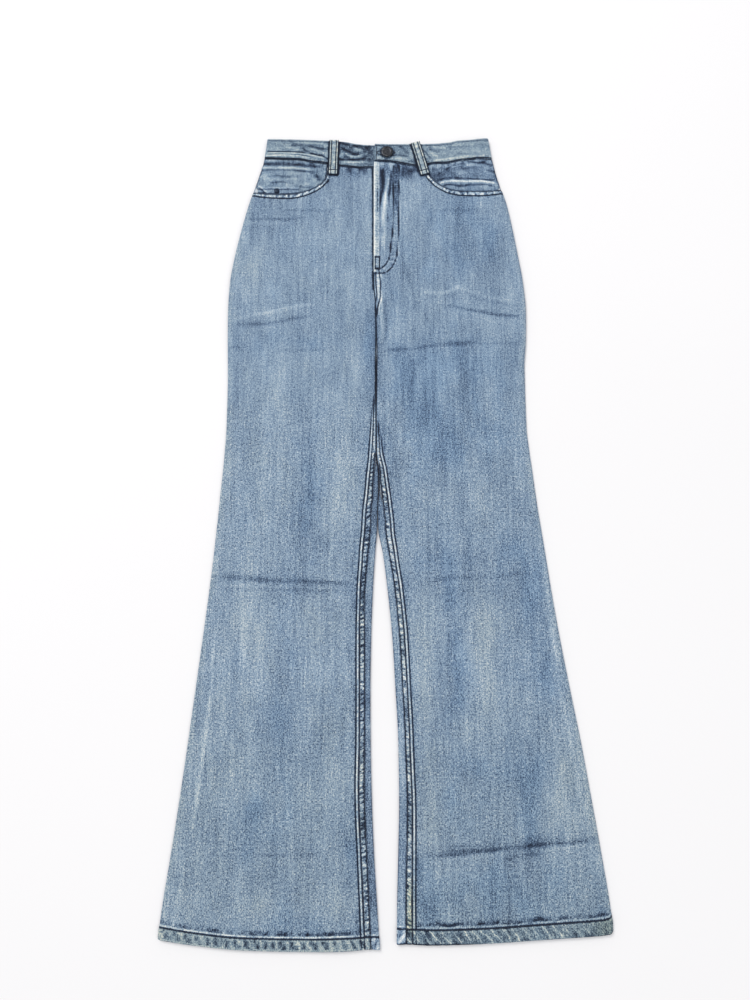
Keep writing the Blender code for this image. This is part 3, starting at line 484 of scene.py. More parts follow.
def back_inner_x(side, y):
    shift = smooth(262.0, 345.0, y)
    above = (-13.4 + outward(side) * SEAM / 2) * (1 - shift) + (BACK_CENTRE + outward(side) * SEAM / 2) * shift
    return np.where(np.asarray(y) < 262.0, inner_x(side, y), above)


def strip(side, y):
    return np.maximum(0.0, OUTLINE[side + "_strip"](y))


def fold_radius(y):
    return (LEVEL["front"](y) - LEVEL["back"](y)) / 2


def quarter(distance, reach):
    t = np.clip(distance / reach, 0.0, 1.0)
    return np.sqrt(1.0 - (1.0 - t) ** 2)


def seam_x(side, y):
    return inner_x(side, y) + outward(side) * (strip(side, y) + SEAM / 2)


def fly_lift(side, x, y):
    if side == "right":
        return np.zeros_like(np.asarray(x, float) + y)
    return FLY_LIFT * (1.0 - smooth(64.0, 92.0, x - seam_x(side, y))) * smooth(325.0, 365.0, y)


def front_height(side, x, y):
    """Height of the front panel's middle surface."""
    out = outward(side)
    top, seam = LEVEL["front"](y), LEVEL["side"](y) + SEAM / 2
    height = seam + (top - seam) * quarter(out * (outer_x(side, y) - x), SIDE_ROUND)
    apart, radius = legs_apart(y), fold_radius(y)
    middle = (LEVEL["front"](y) + LEVEL["back"](y)) / 2 + SEAM
    from_edge = out * (x - inner_x(side, y))
    folded = middle + (top - middle) * quarter(from_edge, radius)
    lower = height + apart * (np.minimum(height, folded) - height)
    return np.where((apart > 0) & (from_edge < radius), lower, height) + fly_lift(side, x, y)


def above_hem(side, x, y):
    """How far a point of a leg is above its hem's lower edge."""
    out = outward(side)
    share = out * (outer_x(side, y) - x) / (out * (outer_x(side, y) - seam_x(side, y)))
    return y - HEM[side](np.clip(share, 0, 1))


def hem_fold(side, x, y):
    return 1.0 - smooth(HEM_DEPTH[side] - 1.2, HEM_DEPTH[side] + 1.4, above_hem(side, x, y))


def band_low(x):
    return 521.0 + np.where(x < BACK_CENTRE, 11.5, 11.0) * (np.abs(x - BACK_CENTRE) / 171.0) ** 1.6


def band_high(x):
    return 552.4 + np.where(x < BACK_CENTRE, 11.5, 12.0) * (np.abs(x - BACK_CENTRE) / 171.0) ** 1.6


def clear_of_scoop(side, x, y):
    """How far a point is inside the pocket opening (+) or under the front panel (-)."""
    line = Line(SCOOPS[side], 3.0)
    flat_x, flat_y = np.ravel(x).astype(float), np.ravel(y).astype(float)
    which, off, _ = line.near(flat_x, flat_y, 1e5)
    sign = 1.0 if side == "right" else -1.0
    return (sign * off).reshape(np.shape(x))


def facing_height(side, x, y):
    inside = outward(side) * (outer_x(side, y) - x)
    seam = LEVEL["side"](y) + SEAM / 2
    swell = np.maximum(1.5 * smooth(2.0, 15.0, clear_of_scoop(side, x, y)), 1.4 * smooth(500.0, 518.0, y))
    flat = LEVEL["back"](y) + LAYER + swell
    return seam + (flat - seam) * quarter(inside, SIDE_ROUND)


# ---------------------------------------------------------------- what wear does to the fronts, and the painted shade of their folds, seams and edges


def front_edge_distance(side, x, y):
    """How far a point of the front panel is from its inseam or centre edge."""
    return outward(side) * (x - seam_x(side, y))


def lap_rows(side, y):
    """Distances from the front panel's edge: the second stitched row, the rubbed ridge beyond it and the lap's far side."""
    gap = GAP[side](y)
    wide = np.clip(gap / 7.0, 0.0, 1.0)
    second = ROW_IN + np.maximum(0.9, gap - LAP_TURN * wide)
    return second, second + 0.5 * LAP_TURN * wide, second + LAP_TURN * wide


def ladder_light(side, y):
    """The narrow top of the lap, above its first row, is rubbed light."""
    return smooth(FIRST_ROW_TOP[side] - 24, FIRST_ROW_TOP[side], y) * (1 - smooth(ROW_TOP[side] - 20, ROW_TOP[side], y))


def around_loops(x, y, at_back=False):
    """Distance outside the nearest belt loop's outline (negative under it)."""
    nearest = np.full(np.shape(x), 99.0)
    for name, xt, yt, xb, yb, width, back in LOOPS:
        if back != at_back:
            continue
        length = math.hypot(yt - yb, xt - xb)
        u = ((x - xb) * (xt - xb) + (y - yb) * (yt - yb)) / length
        v = ((x - xb) * (yt - yb) - (y - yb) * (xt - xb)) / length
        across, along = np.abs(v) - width / 2, np.maximum(-u, u - length)
        outside = np.hypot(np.maximum(across, 0), np.maximum(along, 0)) + np.minimum(np.maximum(across, along), 0)
        nearest = np.minimum(nearest, outside)
    return nearest


def bell(distance, width):
    return np.exp(-((distance / width) ** 2))


def front_fields(side, x, y):
    f = Field(x, y)
    x, y = f.x, f.y
    out = outward(side)
    a = front_edge_distance(side, x, y)
    every = np.arange(len(x))
    e = above_hem(side, x, y)

    # broad, low swells, so that the cloth isn't a flat board
    body = smooth(0, 40, out * (outer_x(side, y) - x)) * smooth(0, 30, np.abs(a))
    f.rise += body * (0.55 * noise(x / 62, y / 105, 3) + 0.30 * noise(x / 27, y / 60, 4))
    f.wash += 0.035 * noise(x / 14, y / 120, 6) + 0.06 * noise(x / 38, y / 52, 7) + 0.04 * noise(x / 17, y / 24, 8)
    mottle = noise(x / 5, y / 42, 9) + 0.6 * noise(x / 11, y / 18, 10)
    for px, py, wide, tall, wash in PATCHES:
        if (px < -13) == (side == "right"):
            spot = wash * np.exp(-(((x - px) / wide) ** 2) - ((y - py) / tall) ** 2)
            f.wash += 0.27 * spot * (1 + 0.5 * mottle)
            f.worn += 0.70 * spot

    for seed, (which, points, width, height, wash) in enumerate(CREASES):
        if which == side:
            f.crease(points, width, height, 0.46 * wash, 11 * seed + 1)

    # side edge: painted light along the right leg's edge and painted shade along the left leg's, where it turns under;
    # rubbed light a little way in
    side_in = out * (outer_x(side, y) - x)
    f.wash += (0.12 if side == "right" else -0.10) * bell(side_in, 1.3) * (0.75 + 0.35 * noise(y / 22, 0, 27)) + 0.06 * bell(side_in - 5, 4)
    f.worn += 0.25 * bell(side_in, 7)

    # inseam: dark row, roped ladder, dark row (the rows' darkness is painted shade in the stitches' grooves), thin
    # bright ridge, and the lap's painted shadow
    second, ridge, far = lap_rows(side, y)
    legs = 1 - smooth(ROW_TOP[side] - 12, ROW_TOP[side] + 6, y)
    above = smooth(HEM_ROW[side] - 0.5, HEM_ROW[side] + 1.5, e)
    uneven = 0.85 + 0.35 * noise(y / 13, 0, 21) + 0.25 * noise(y / 4.5, 0, 22)
    lap = smooth(1.5, 6.0, far - second) + 0.25
    ladder = legs * smooth(ROW_IN + 0.4, ROW_IN + 1.2, a) * (1 - smooth(second - 1.2, second - 0.4, a)) * above
    f.rise += legs * (-0.32 * (y < FIRST_ROW_TOP[side]) * bell(a - ROW_IN, 0.75) - 0.36 * bell(a - second, 0.8) + 0.46 * bell(a - ridge, 0.8) * np.minimum(1, lap))
    first = legs * (1 - smooth(FIRST_ROW_TOP[side] - 8, FIRST_ROW_TOP[side] + 6, y))
    f.wash += -1.75 * uneven * (first * bell(a - ROW_IN, 0.86) + legs * bell(a - second, 0.90))
    lap_shadow = 1.95 if side == "right" else 1.80
    f.wash += legs * (0.86 * uneven * bell(a - ridge, 0.47) - lap_shadow * bell(a - far, 0.78)) * np.minimum(1, lap) * (0.35 + 0.65 * above)
    f.wash += 0.35 * ladder_light(side, y) * smooth(0.3, 0.9, a) * (1 - smooth(second - 1.3, second - 0.5, a))
    bars = np.sin(2 * math.pi * (y + 0.35 * a) / 5.6 + 2.4 * noise(y / 15, 0, 23)) * (0.75 + 0.5 * noise(y / 8, 0, 24))
    f.rise += 0.26 * bars * ladder
    if side == "right":
        f.wash += ladder * (-0.10 + 0.40 * bars + 0.20 * noise(y / 46, 0, 25))
    else:
        f.wash += ladder * (0.15 + 0.30 * bars + 0.22 * noise(y / 46, 0, 25))
    f.stain += ladder * (0.08 + 0.12 * noise(y / 30, 0, 28))
    f.rope_on(every, 1.50 * ladder, y + 0.35 * a, a)
    fringe = legs * smooth(far + 0.4, far + 1.2, a) * (1 - smooth(far + 3, far + 9, a)) * above
    f.wash += -0.10 * fringe * (0.6 + 0.8 * noise(y / 5, a / 9, 26))
    f.rope_on(every, 0.35 * fringe, y, a)

    # the deep line where the legs meet, up to the bottom of the fly, with painted shade in it and down the crevice
    # below it
    deep = smooth(140, 186, y) * (1 - smooth(288, 312, y))
    f.rise += -1.2 * deep * bell(a, 1.6)
    f.wash += deep * (-1.5 * bell(a, 0.9) - 0.22 * bell(a, 7.0))
    low_line = smooth(60, 125, y) * (1 - smooth(140, 190, y))
    f.wash += -0.4 * low_line * bell(a, 0.8)
    # the front panel's edge turns down into the seam, with painted shade along it
    f.wash += -0.12 * legs * bell(a, 0.6)

    # hem, its stitched row darkened with painted shade
    row = HEM_ROW[side]
    line_tone = 0.80 + 0.45 * noise(x / 9, 0, 31) + 0.2 * noise(x / 3.5, 0, 30)
    band = 1 - smooth(row - 1.0, row - 0.3, e)
    f.rise += -0.34 * bell(e - row, 0.8) + 0.42 * bell(e - row - 1.9, 0.9)
    f.wash += -1.50 * bell(e - row, 0.95)
    if side == "right":
        turn = 2 * math.pi * (x + 0.45 * e) / 12.4 + 2.2 * noise(x / 34, 0, 32)
        twist = np.sin(turn) * (0.80 + 0.45 * noise(x / 19, 0, 33))
        f.rise += band * (0.34 * twist - 0.1)
        low = smooth(0.6, 3.0, e) * (1 - smooth(row - 3.4, row - 1.0, e))
        f.wash += 1.05 * line_tone * bell(e - row - 2.1, 0.65)
        f.wash += band * (0.24 - 0.72 * low * np.maximum(0, 0.40 - twist) + 0.10 * noise(x / 5, e / 4, 36))
        f.stain += 0.34 * band
        f.rope_on(every, 0.30 * band, x + 0.45 * e, e)
        fringe = smooth(row + 3.2, row + 4.4, e) * (1 - smooth(row + 5.5, row + 11.5, e))
        f.wash += -0.80 * fringe * (0.65 + 0.85 * noise(x / 4.2, e / 9, 34)) * (0.45 + 0.55 * smooth(-190, -150, x) * (1 - smooth(-60, -30, x)))
    else:
        turn = 2 * math.pi * (x + 0.75 * e) / 12.7 + 1.6 * noise(x / 31, 0, 32)
        twist = np.sin(turn) * (0.75 + 0.45 * noise(x / 19, 0, 33))
        f.rise += band * (0.34 * twist - 0.1)
        f.wash += 0.34 * line_tone * bell(e - row - 2.1, 0.9)
        f.wash += band * (-0.10 - 0.45 * np.maximum(0, noise(x / 9 + 0.3, e / 12, 37)) + 0.16 * bell(e - row + 2.4, 1.1))
        f.lines += band * smooth(0.4, 1.6, e) * (0.56 - 0.30 * smooth(120, 230, x) + 0.3 * noise(x / 14, 0, 38))
        f.stain += band * (0.26 + 0.35 * smooth(250, 280, x))
        f.rope_on(every, 0.40 * band, x + 0.75 * e, e)
        ragged = e - 1.5 * noise(x / 8, 0, 39) - 0.8 * noise(x / 3, 0, 40)
        fringe = smooth(row + 2.8, row + 4.8, ragged) * (1 - smooth(row + 5.2, row + 10.5, ragged))
        f.wash += -0.70 * fringe * (0.75 + 0.70 * noise(x / 7, e / 12, 34)) * smooth(-1.1, 0.0, 0.45 + noise(x / 46, 0, 35))
        # painted contact shadow along the lower edge at its inner end, where it lies hard on the floor
        f.wash += -1.4 * bell(e, 1.3) * (1 - smooth(70, 118, x))
        f.stain += 0.65 * np.exp(-(((x - 30) / 4.5) ** 2)) * smooth(-556, -530, y) * (1 - smooth(-500, -470, y))
    f.rise += 0.18 * fringe * noise(x / 4.2, e / 14, 34)
    f.rope_on(every, 0.6 * fringe, x, e)
    # a little lighter at the hem's edge, with painted shade just under it
    f.wash += 0.10 * bell(e, 1.2) - 0.55 * bell(e + 0.3, 0.6)
    # the lower legs are a little yellowed
    f.stain += 0.11 * (1 - smooth(-420, -200, y)) + 0.08 * (side == "left") * (1 - smooth(-540, -440, y))

    # scoop: two rows darkened with painted shade in their grooves, with light beads between them
    scoop = Line(SCOOPS[side], 2.0)
    which, off, along = scoop.near(x, y, 18)
    d = np.abs(off)
    outer = Curve(SCOOP_OUT[side])(along / scoop.total)
    near_waist = 1 - 0.6 * smooth(scoop.total - 14, scoop.total, along)
    bead = np.sin(2 * math.pi * along / 5.0 + 1.8 * noise(along / 12, 0, 41)) * (0.8 + 0.5 * noise(along / 7, 0, 42))
    between = smooth(SCOOP_IN + 0.4, SCOOP_IN + 1.2, d) * (1 - smooth(outer - 1.1, outer - 0.3, d))
    f.rise[which] += near_waist * (0.30 * between * (0.7 + bead) - 0.30 * bell(d - SCOOP_IN, 0.7) - 0.34 * bell(d - outer, 0.8))
    f.wash[which] += -1.70 * bell(d - SCOOP_IN, 0.85) + 0.20 * bell(d, 0.40) - 1.85 * bell(d - outer, 0.85)
    f.wash[which] += between * (0.26 + 0.42 * bead)
    f.rope_on(which, 1.25 * between, along, d)
    below = smooth(outer + 0.7, outer + 1.6, d) * (1 - smooth(outer + 2, outer + 9, d))
    f.wash[which] += below * (-0.08 + 0.26 * np.maximum(0, bead))
    f.rise[which] += 0.12 * below * bead

    # pleats under the waist seam, and its shadow
    drop = SEAM_LINE[side](x) - y
    corner = SCOOPS[side][-1][0]
    free = out * (x - corner) < 0
    reach = 17.0 if side == "left" else 12.0
    pull = np.exp(-((drop / reach) ** 2)) * smooth(0, 2.5, drop) * free
    pleat = noise(x / 3.4 + 0.02 * drop, drop / 16, 51)
    f.rise += 0.34 * pull * pleat
    f.wash += pull * (0.42 * pleat + 0.22 * noise(x / 7.5, drop / 9, 52) - 0.06)
    if side == "left":
        navy = smooth(20, 26, x) * (1 - smooth(44, 52, x)) * (1 - smooth(14, 30, drop))
        f.wash += -0.45 * navy * (1 + 0.6 * noise(x / 8, y / 7, 53))
    else:
        f.wash += -0.20 * smooth(-66, -56, x) * (1 - smooth(4, 16, drop)) * (1 + 0.8 * noise(x / 9, y / 5, 53))
    f.wash += -0.7 * bell(drop - 0.4, 0.9) * (y > 505)
    # painted shadow round the belt loops
    f.wash += -1.80 * bell(np.maximum(around_loops(x, y), 0), 1.5) * (y > 490)

    if side == "left":
        fly = smooth(348, 353, y)
        rise_rows = (1 - fly) * smooth(300, 316, y)
        # the fly's edge: a light strip, whitest at its left, then a valley darkened with painted shade
        edge = fly * smooth(-0.4, 0.5, a) * (1 - smooth(7.2, 8.4, a))
        stripe = np.sin(2 * math.pi * y / 6.1 + 2.0 * noise(y / 18, 0, 61)) * (0.6 + 0.4 * noise(y / 9, 0, 62))
        f.rise += fly * (0.55 * bell(a - 2.6, 2.6) - 0.35 * bell(a - 8.4, 1.2))
        f.wash += edge * (0.27 + 0.10 * stripe + 0.10 * noise(y / 30, 0, 63)) + fly * 0.62 * bell(a - 1.2, 1.0)
        f.stain += 0.05 * edge
        f.wash += -fly * 0.90 * bell(a - 9.2, 0.9) * smooth(362, 380, y) * (0.45 + 0.3 * noise(y / 14, 0, 65))
        dots = smooth(444, 450, y) * (1 - smooth(480, 487, y)) * (0.5 + 0.5 * np.sin(2 * math.pi * y / 3.4))
        f.wash += -fly * 1.3 * dots * bell(a - 5.4, 0.7)
        f.rope_on(every, 0.45 * edge, y, a)
        f.rise += 0.10 * stripe * edge
        # below it, the two rows of the rise, with painted shade along the panel's edge
        mid = rise_rows * smooth(4.2, 5.0, a) * (1 - smooth(9.2, 10.2, a))
        f.wash += mid * (0.55 + 0.25 * stripe)
        f.rise += 0.25 * mid
        f.wash += 0.5 * rise_rows * bell(a - 1.8, 0.9) - 1.1 * rise_rows * bell(a, 1.0)
        f.pucker(J_INNER, 0.9, 8.0, 5.6, 0.12, 0.10, 0.45, 0.2, 64, lean=0.05)
        f.wash += -0.46 * smooth(12.6, 14, x) * (1 - smooth(18.6, 20, x)) * smooth(440, 486, y)
        for start, end in zip(TACK_BOX, TACK_BOX[1:]):
            f.groove([start, end], 0.75, 0.2, -1.9)
        f.groove(J_INNER, 0.68, 0.34, -1.35)
        f.groove(J_OUTER, 0.68, 0.34, -1.25)
        # a thin raised line beside the J's outer row, painted light along its crest
        f.groove([(px + 1.9, py) for px, py in J_OUTER[:9]], 0.8, -0.16, 0.34)
        f.groove(RISE_OUT, 0.95, 0.35, -1.35)
        f.groove(RISE_IN, 0.95, 0.35, -1.25)
        # a thin raised line beside the rise's outer row, painted light along its crest
        f.groove([(px + 2.0, py) for px, py in RISE_OUT[1:]], 0.8, -0.12, 0.45)
    else:
        # the right front runs under the fly's edge, with painted shadow along it
        under = smooth(318, 332, y)
        f.wash += -1.35 * under * bell(a - 0.6, 1.3) * (0.85 + 0.4 * noise(y / 5, 0, 66))
        f.rise += -0.35 * under * bell(a, 3.0)
    return f


# ---------------------------------------------------------------- meshes

MATERIALS = {}
MADE = {}


def put(name, verts, faces, materials, face_material=None, attributes=(), smooth_shade=True):
    """A mesh object from arrays in millimetres."""
    verts = np.asarray(verts, float).copy()
    verts[:, 0] += CENTRE[0]
    verts[:, 1] += CENTRE[1]
    mesh = bpy.data.meshes.new(name)
    mesh.from_pydata((verts * MM).tolist(), [], faces.tolist() if hasattr(faces, "tolist") else faces)
    for m in materials:
        mesh.materials.append(MATERIALS[m])
    if face_material is not None:
        mesh.polygons.foreach_set("material_index", np.asarray(face_material, np.int32))
    for key, values in attributes:
        values = np.asarray(values, np.float32)
        kind = "FLOAT" if values.ndim == 1 else "FLOAT_VECTOR"
        layer = mesh.attributes.new(key, kind, "POINT")
        layer.data.foreach_set("value" if values.ndim == 1 else "vector", values.ravel())
    if smooth_shade:
        mesh.shade_smooth()
    mesh.update()
    obj = bpy.data.objects.new(name, mesh)
    bpy.context.scene.collection.objects.link(obj)
    MADE[name] = obj
    return obj


def normals(p):
    along = np.gradient(p, axis=1)
    up = np.gradient(p, axis=0)
    n = np.cross(along, up)
    return n / np.maximum(np.linalg.norm(n, axis=2, keepdims=True), 1e-9)


def shell(name, middle, half, facing_up, field=None, cloth=None, materials=("denim", "denim_inside"), rim=3, tuck=0.8, floor=True, tint=0.0, seed=0.0, outside=None):
    """A wall of cloth on a grid of its middle surface, with rounded edges.

    half is half its wall, facing_up is the mean direction of its face side, and
    field is what wear, folds and painted shade add. Its faces take the first material on the face side and
    the second one inside, but the first one there too where outside is true.
    """
    p = np.array(middle, float)
    rows, cols = p.shape[:2]
    half = np.broadcast_to(np.asarray(half, float), (rows, cols))[..., None]
    n = normals(p)
    sign = 1.0 if np.sum(n[..., 2]) * facing_up > 0 else -1.0
    n *= sign
    if field is not None:
        p = p + n * field.grid(field.rise)[..., None]
        n = normals(p) * sign

    # the boundary, as one loop of grid places
    loop = [(0, c) for c in range(cols)] + [(r, cols - 1) for r in range(1, rows)]
    loop += [(rows - 1, c) for c in range(cols - 2, -1, -1)] + [(r, 0) for r in range(rows - 2, 0, -1)]
    li, lj = np.array([q[0] for q in loop]), np.array([q[1] for q in loop])
    edge = p[li, lj]
    inward_i = np.clip(li, 1, rows - 2)
    inward_j = np.clip(lj, 1, cols - 2)
    along = np.roll(edge, -1, axis=0) - np.roll(edge, 1, axis=0)
    out_dir = np.cross(along, n[li, lj])
    out_dir /= np.maximum(np.linalg.norm(out_dir, axis=1, keepdims=True), 1e-9)
    away = edge - p[inward_i, inward_j]
    out_dir *= np.where(np.sum(out_dir * away, axis=1) >= 0, 1.0, -1.0)[:, None]
    wall = half[li, lj]

    shift = np.zeros_like(p)
    shift[li, lj] = -out_dir * wall * tuck * 0.5
    face = p + shift + n * half
    back = p + shift - n * half
    count = rows * cols
    verts = [face.reshape(-1, 3), back.reshape(-1, 3)]
    for k in range(1, rim + 1):
        angle = math.pi * k / (rim + 1)
        ring = edge + shift[li, lj] + n[li, lj] * wall * math.cos(angle) + out_dir * wall * tuck * math.sin(angle)
        verts.append(ring)
    verts = np.vstack(verts)
    if floor:
        verts[:, 2] = np.maximum(verts[:, 2], 0.0)

    index = np.arange(count).reshape(rows, cols)
    quads = np.stack([index[:-1, :-1], index[:-1, 1:], index[1:, 1:], index[1:, :-1]], axis=-1).reshape(-1, 4)
    if sign < 0:
        quads = quads[:, ::-1]
    inner = quads[:, ::-1] + count
    rings = [index[li, lj]] + [2 * count + k * len(loop) + np.arange(len(loop)) for k in range(rim)] + [index[li, lj] + count]
    sides = []
    for upper, lower in zip(rings, rings[1:]):
        sides.append(np.stack([upper, lower, np.roll(lower, -1), np.roll(upper, -1)], axis=-1))
    sides = np.vstack(sides)
    if sign < 0:
        sides = sides[:, ::-1]
    faces = np.vstack([quads, inner, sides])
    lining = np.ones((rows - 1, cols - 1)) if outside is None else 1.0 - outside[:-1, :-1]
    kind = np.concatenate([np.zeros(len(quads)), lining.ravel(), np.zeros(len(sides))]).astype(np.int32)

    def spread(values):
        values = np.asarray(values, float)
        flat = values.reshape(count, -1)
        around = values[li, lj].reshape(len(loop), -1)
        whole = np.vstack([flat, flat] + [around] * rim)
        return whole[:, 0] if whole.shape[1] == 1 else whole

    if field is None:
        field = Field(p[..., 0], p[..., 1])
    if cloth is None:
        cloth = p
    grain = np.dstack([cloth[..., 0] * MM, cloth[..., 1] * MM, np.full((rows, cols), seed)])
    seam = np.dstack([field.grid(field.seam[:, 0]) * MM, field.grid(field.seam[:, 1]) * MM, np.full((rows, cols), seed)])
    # the tone the material reads: worn light and dark indigo, with painted shade and highlights
    wash = spread(field.grid(field.wash) + tint)
    attributes = [("wash", wash), ("rope", spread(field.grid(field.rope))), ("cloth", spread(grain)), ("seam", spread(seam))]
    attributes += [(key, spread(field.grid(getattr(field, key)))) for key in ("lines", "stain", "worn")]
    attributes.append(("coarse", spread(1.0 - 0.30 * smooth(90.0, 220.0, p[..., 1]))))
    obj = put(name, verts, faces, materials, kind, attributes)
    mid_area = 0.5 * np.sum(np.linalg.norm(np.cross(p[1:, 1:] - p[:-1, :-1], p[1:, :-1] - p[:-1, 1:]), axis=2)) * MM * MM
    obj["mid_area"] = float(mid_area)
    across = np.linalg.norm(np.diff(p, axis=1), axis=2).sum(axis=1)
    obj["turned"] = float(np.max(across - np.ptp(p[..., 0], axis=1))) * MM
    return obj


# ---------------------------------------------------------------- threads


class Threads:
    """Rows of topstitching as one mesh of short rounded stitches."""

    def __init__(self):
        self.verts, self.faces, self.count = [], [], 0

    def row(self, path, length=3.1, gap=0.55, radius=0.42, up=1.0, sides=6, seed=0, sink=0.12):
        path = np.asarray(path, float)
        step = np.linalg.norm(np.diff(path, axis=0), axis=1)
        start = np.concatenate([[0.0], np.cumsum(step)])
        total = start[-1]
        number = max(1, int(total / (length + gap)))
        pitch = total / number
        begin = np.arange(number) * pitch + gap / 2 + 0.12 * noise(np.arange(number) * 0.73, 0, seed)
        end = begin + pitch - gap
        rings = []
        for share, drop in ((0.0, -1.0), (0.16, 0.0), (0.84, 0.0), (1.0, -1.0)):
            at = begin + (end - begin) * share
            point = np.stack([np.interp(at, start, path[:, k]) for k in range(3)], axis=-1)
            point[:, 2] += up * (radius * (0.35 - sink) + drop * radius * 0.75)
            rings.append(point)
        rings = np.stack(rings, axis=1)
        tangent = rings[:, -1] - rings[:, 0]
        tangent /= np.maximum(np.linalg.norm(tangent, axis=1, keepdims=True), 1e-9)
        top = np.array([0.0, 0.0, up])
        across = np.cross(tangent, top)
        across /= np.maximum(np.linalg.norm(across, axis=1, keepdims=True), 1e-9)
        lift = np.cross(across, tangent)
        size = radius * np.array([0.5, 1.0, 1.0, 0.5])
        angles = 2 * math.pi * np.arange(sides) / sides
        v = rings[:, :, None, :] + size[None, :, None, None] * (
            np.cos(angles)[None, None, :, None] * across[:, None, None, :] + np.sin(angles)[None, None, :, None] * lift[:, None, None, :]
        )
        base = self.count
        index = base + np.arange(number * 4 * sides).reshape(number, 4, sides)
        turned = np.roll(index, -1, axis=2)
        quads = np.stack([index[:, :-1], index[:, 1:], turned[:, 1:], turned[:, :-1]], axis=-1).reshape(-1, 4)
        self.faces += quads[:, ::-1].tolist()
        self.faces += index[:, 0].tolist()
        self.faces += index[:, -1][:, ::-1].tolist()
        self.verts.append(v.reshape(-1, 3))
        self.count += number * 4 * sides

    def put(self, name, material="thread"):
        return put(name, np.vstack(self.verts), self.faces, [material])


def resample(points, step=1.0):
    p = bent(points, step)
    return p


# ---------------------------------------------------------------- leg panels


def scoop_and_waist(side):
    """The top edge of a front panel, from the side to the centre."""
    scoop = [list(q) for q in SCOOPS[side]]
    scoop[0][0] = float(outer_x(side, scoop[0][1]))
    corner = scoop[-1][0]
    scoop[-1][1] = float(SEAM_LINE[side](corner)) - 2 * SEAM
    first = bent(scoop, 1.0)
    last = float(seam_x(side, 525.0))
    x = np.linspace(corner, last, 60)[1:]
    second = np.stack([x, SEAM_LINE[side](x) - 2 * SEAM], axis=-1)
    return first, second


def front_columns(side, width, gap):
    """Distances in from the side, for panels of these widths (an array)."""
    width = np.asarray(width, float)
    rounded = SIDE_ROUND * (1 - np.cos(np.linspace(0, math.pi / 2, 8)))
    inner = [np.zeros_like(width)]
    gap = np.maximum(gap, 7.2)
    inner += [np.full_like(width, v) for v in (0.55, 1.1, 1.65, 2.3)]
    inner += [2.3 + (gap - 5.8) * k / 4 for k in range(1, 5)]
    inner += [gap + v for v in (-2.9, -2.35, -1.8, -1.2, -0.6, 0.0, 0.6, 1.2, 1.9, 2.8)]
    start = inner[-1]
    inner += [start + (42.0 - start) * k / 15 for k in range(1, 16)]
    reach = inner[-1]
    middle = [SIDE_ROUND + (width - reach - SIDE_ROUND) * k / 46 for k in range(1, 46)]
    columns = [np.full_like(width, v) for v in rounded] + middle + [width - v for v in reversed(inner)]
    return np.stack(columns, axis=-1)


def leg_rows():
    """Nominal heights of a leg's rows from the hem's edge to the level where the top edge shapes them."""
    hem = -562.0 + np.concatenate([np.arange(0, 26, 0.95), [27.5, 29.5]])
    body = np.linspace(hem[-1] + 2.2, 430.0, 430)
    return np.concatenate([hem, body])


def shear(side, share, nominal):
    """The height of a row's point at this share across the leg, with the rows lying along the hem."""
    lift = HEM[side](share) + 562.0
    return nominal + lift * (1.0 - smooth(-540.0, -380.0, nominal))


def front_grid(side):
    out = outward(side)
    first, second = scoop_and_waist(side)
    boundary = np.vstack([first, second])
    step = np.hypot(*np.diff(boundary, axis=0).T)
    run = np.concatenate([[0.0], np.cumsum(step)])
    length = run[-1]
    top = front_columns(side, np.array([length]), np.array([float(GAP[side](500.0))]))[0]
    x_top, y_top = np.interp(top, run, boundary[:, 0]), np.interp(top, run, boundary[:, 1])
    share = top / length
    at_top = (x_top - outer_x(side, y_top)) / (seam_x(side, y_top) - outer_x(side, y_top))

    nominal = leg_rows()
    low = shear(side, share[None, :], nominal[:, None])
    last = nominal[-1]
    span = y_top - last
    near = np.arange(13, -1, -1) * 1.05
    near[-1] = 0.0
    count = 16
    far = (np.arange(1, count + 1) / (count + 1))[:, None] * (span[None, :] - near[0])
    high = np.vstack([last + far, y_top[None, :] - near[:, None]])
    y = np.vstack([low, high])
    width = out * (outer_x(side, y) - seam_x(side, y))
    mix = smooth(250.0, y_top[None, :], y)
    columns = np.empty_like(y)
    for r in range(y.shape[0]):
        w = width[r]
        g = GAP[side](y[r])
        columns[r] = front_columns_at(w, g, np.arange(len(top)))
    shares = columns / width * (1 - mix) + at_top[None, :] * mix
    x = outer_x(side, y) - out * width * shares
    return x, y


def front_columns_at(width, gap, which):
    """front_columns, for one row whose width changes from column to column."""
    table = front_columns("", width, gap)
    return table[which, which]


def front_leg(side):
    x, y = front_grid(side)
    field = front_fields(side, x, y)
    fold = hem_fold(side, x, y)
    z = front_height(side, x, y) + 0.95 * fold
    middle = np.stack([x, y, z], axis=-1)
    half = CLOTH / 2 + 0.5 * fold
    return shell(f"front_{side}_leg_cloth", middle, half, 1.0, field, seed=1.0 if side == "right" else 2.0)


def front_top(side, x, y, lift=0.0):
    """Points on the face of a front panel."""
    x, y = np.asarray(x, float), np.asarray(y, float)
    field = front_fields(side, x, y)
    fold = hem_fold(side, x, y)
    z = front_height(side, x, y) + 0.95 * fold + CLOTH / 2 + 0.5 * fold + field.rise + lift
    return np.stack([x, y, z], axis=-1)


def wrap_table(end, arc, count):
    """Arc distances of the back panel's last columns from where its fold begins."""
    t = np.linspace(0, 1, count)
    flat = -26.0 * (1 - t) ** 1.3
    half = -14.0 + (14.0 + arc / 2) * (1 - (1 - t) ** 1.8)
    first = int(count * 0.30)
    t1 = np.linspace(0, 1, first, endpoint=False)
    t2 = np.linspace(0, 1, count - first)
    share = np.clip(end / (arc / 2), 0, 1)
    low = flat + (half - flat) * share
    if end <= arc / 2:
        return low
    # the fold's own arc takes 40 % of the columns, then the strip on top
    turn = int((count - first) * 0.45)
    whole = np.concatenate([-12.0 * (1 - t1), arc * np.linspace(0, 1, turn, endpoint=False), np.linspace(arc, max(end, arc * 1.08), count - first - turn)])
    blend = np.clip((end - arc / 2) / (arc * 0.58), 0, 1)
    return half + (whole - half) * blend


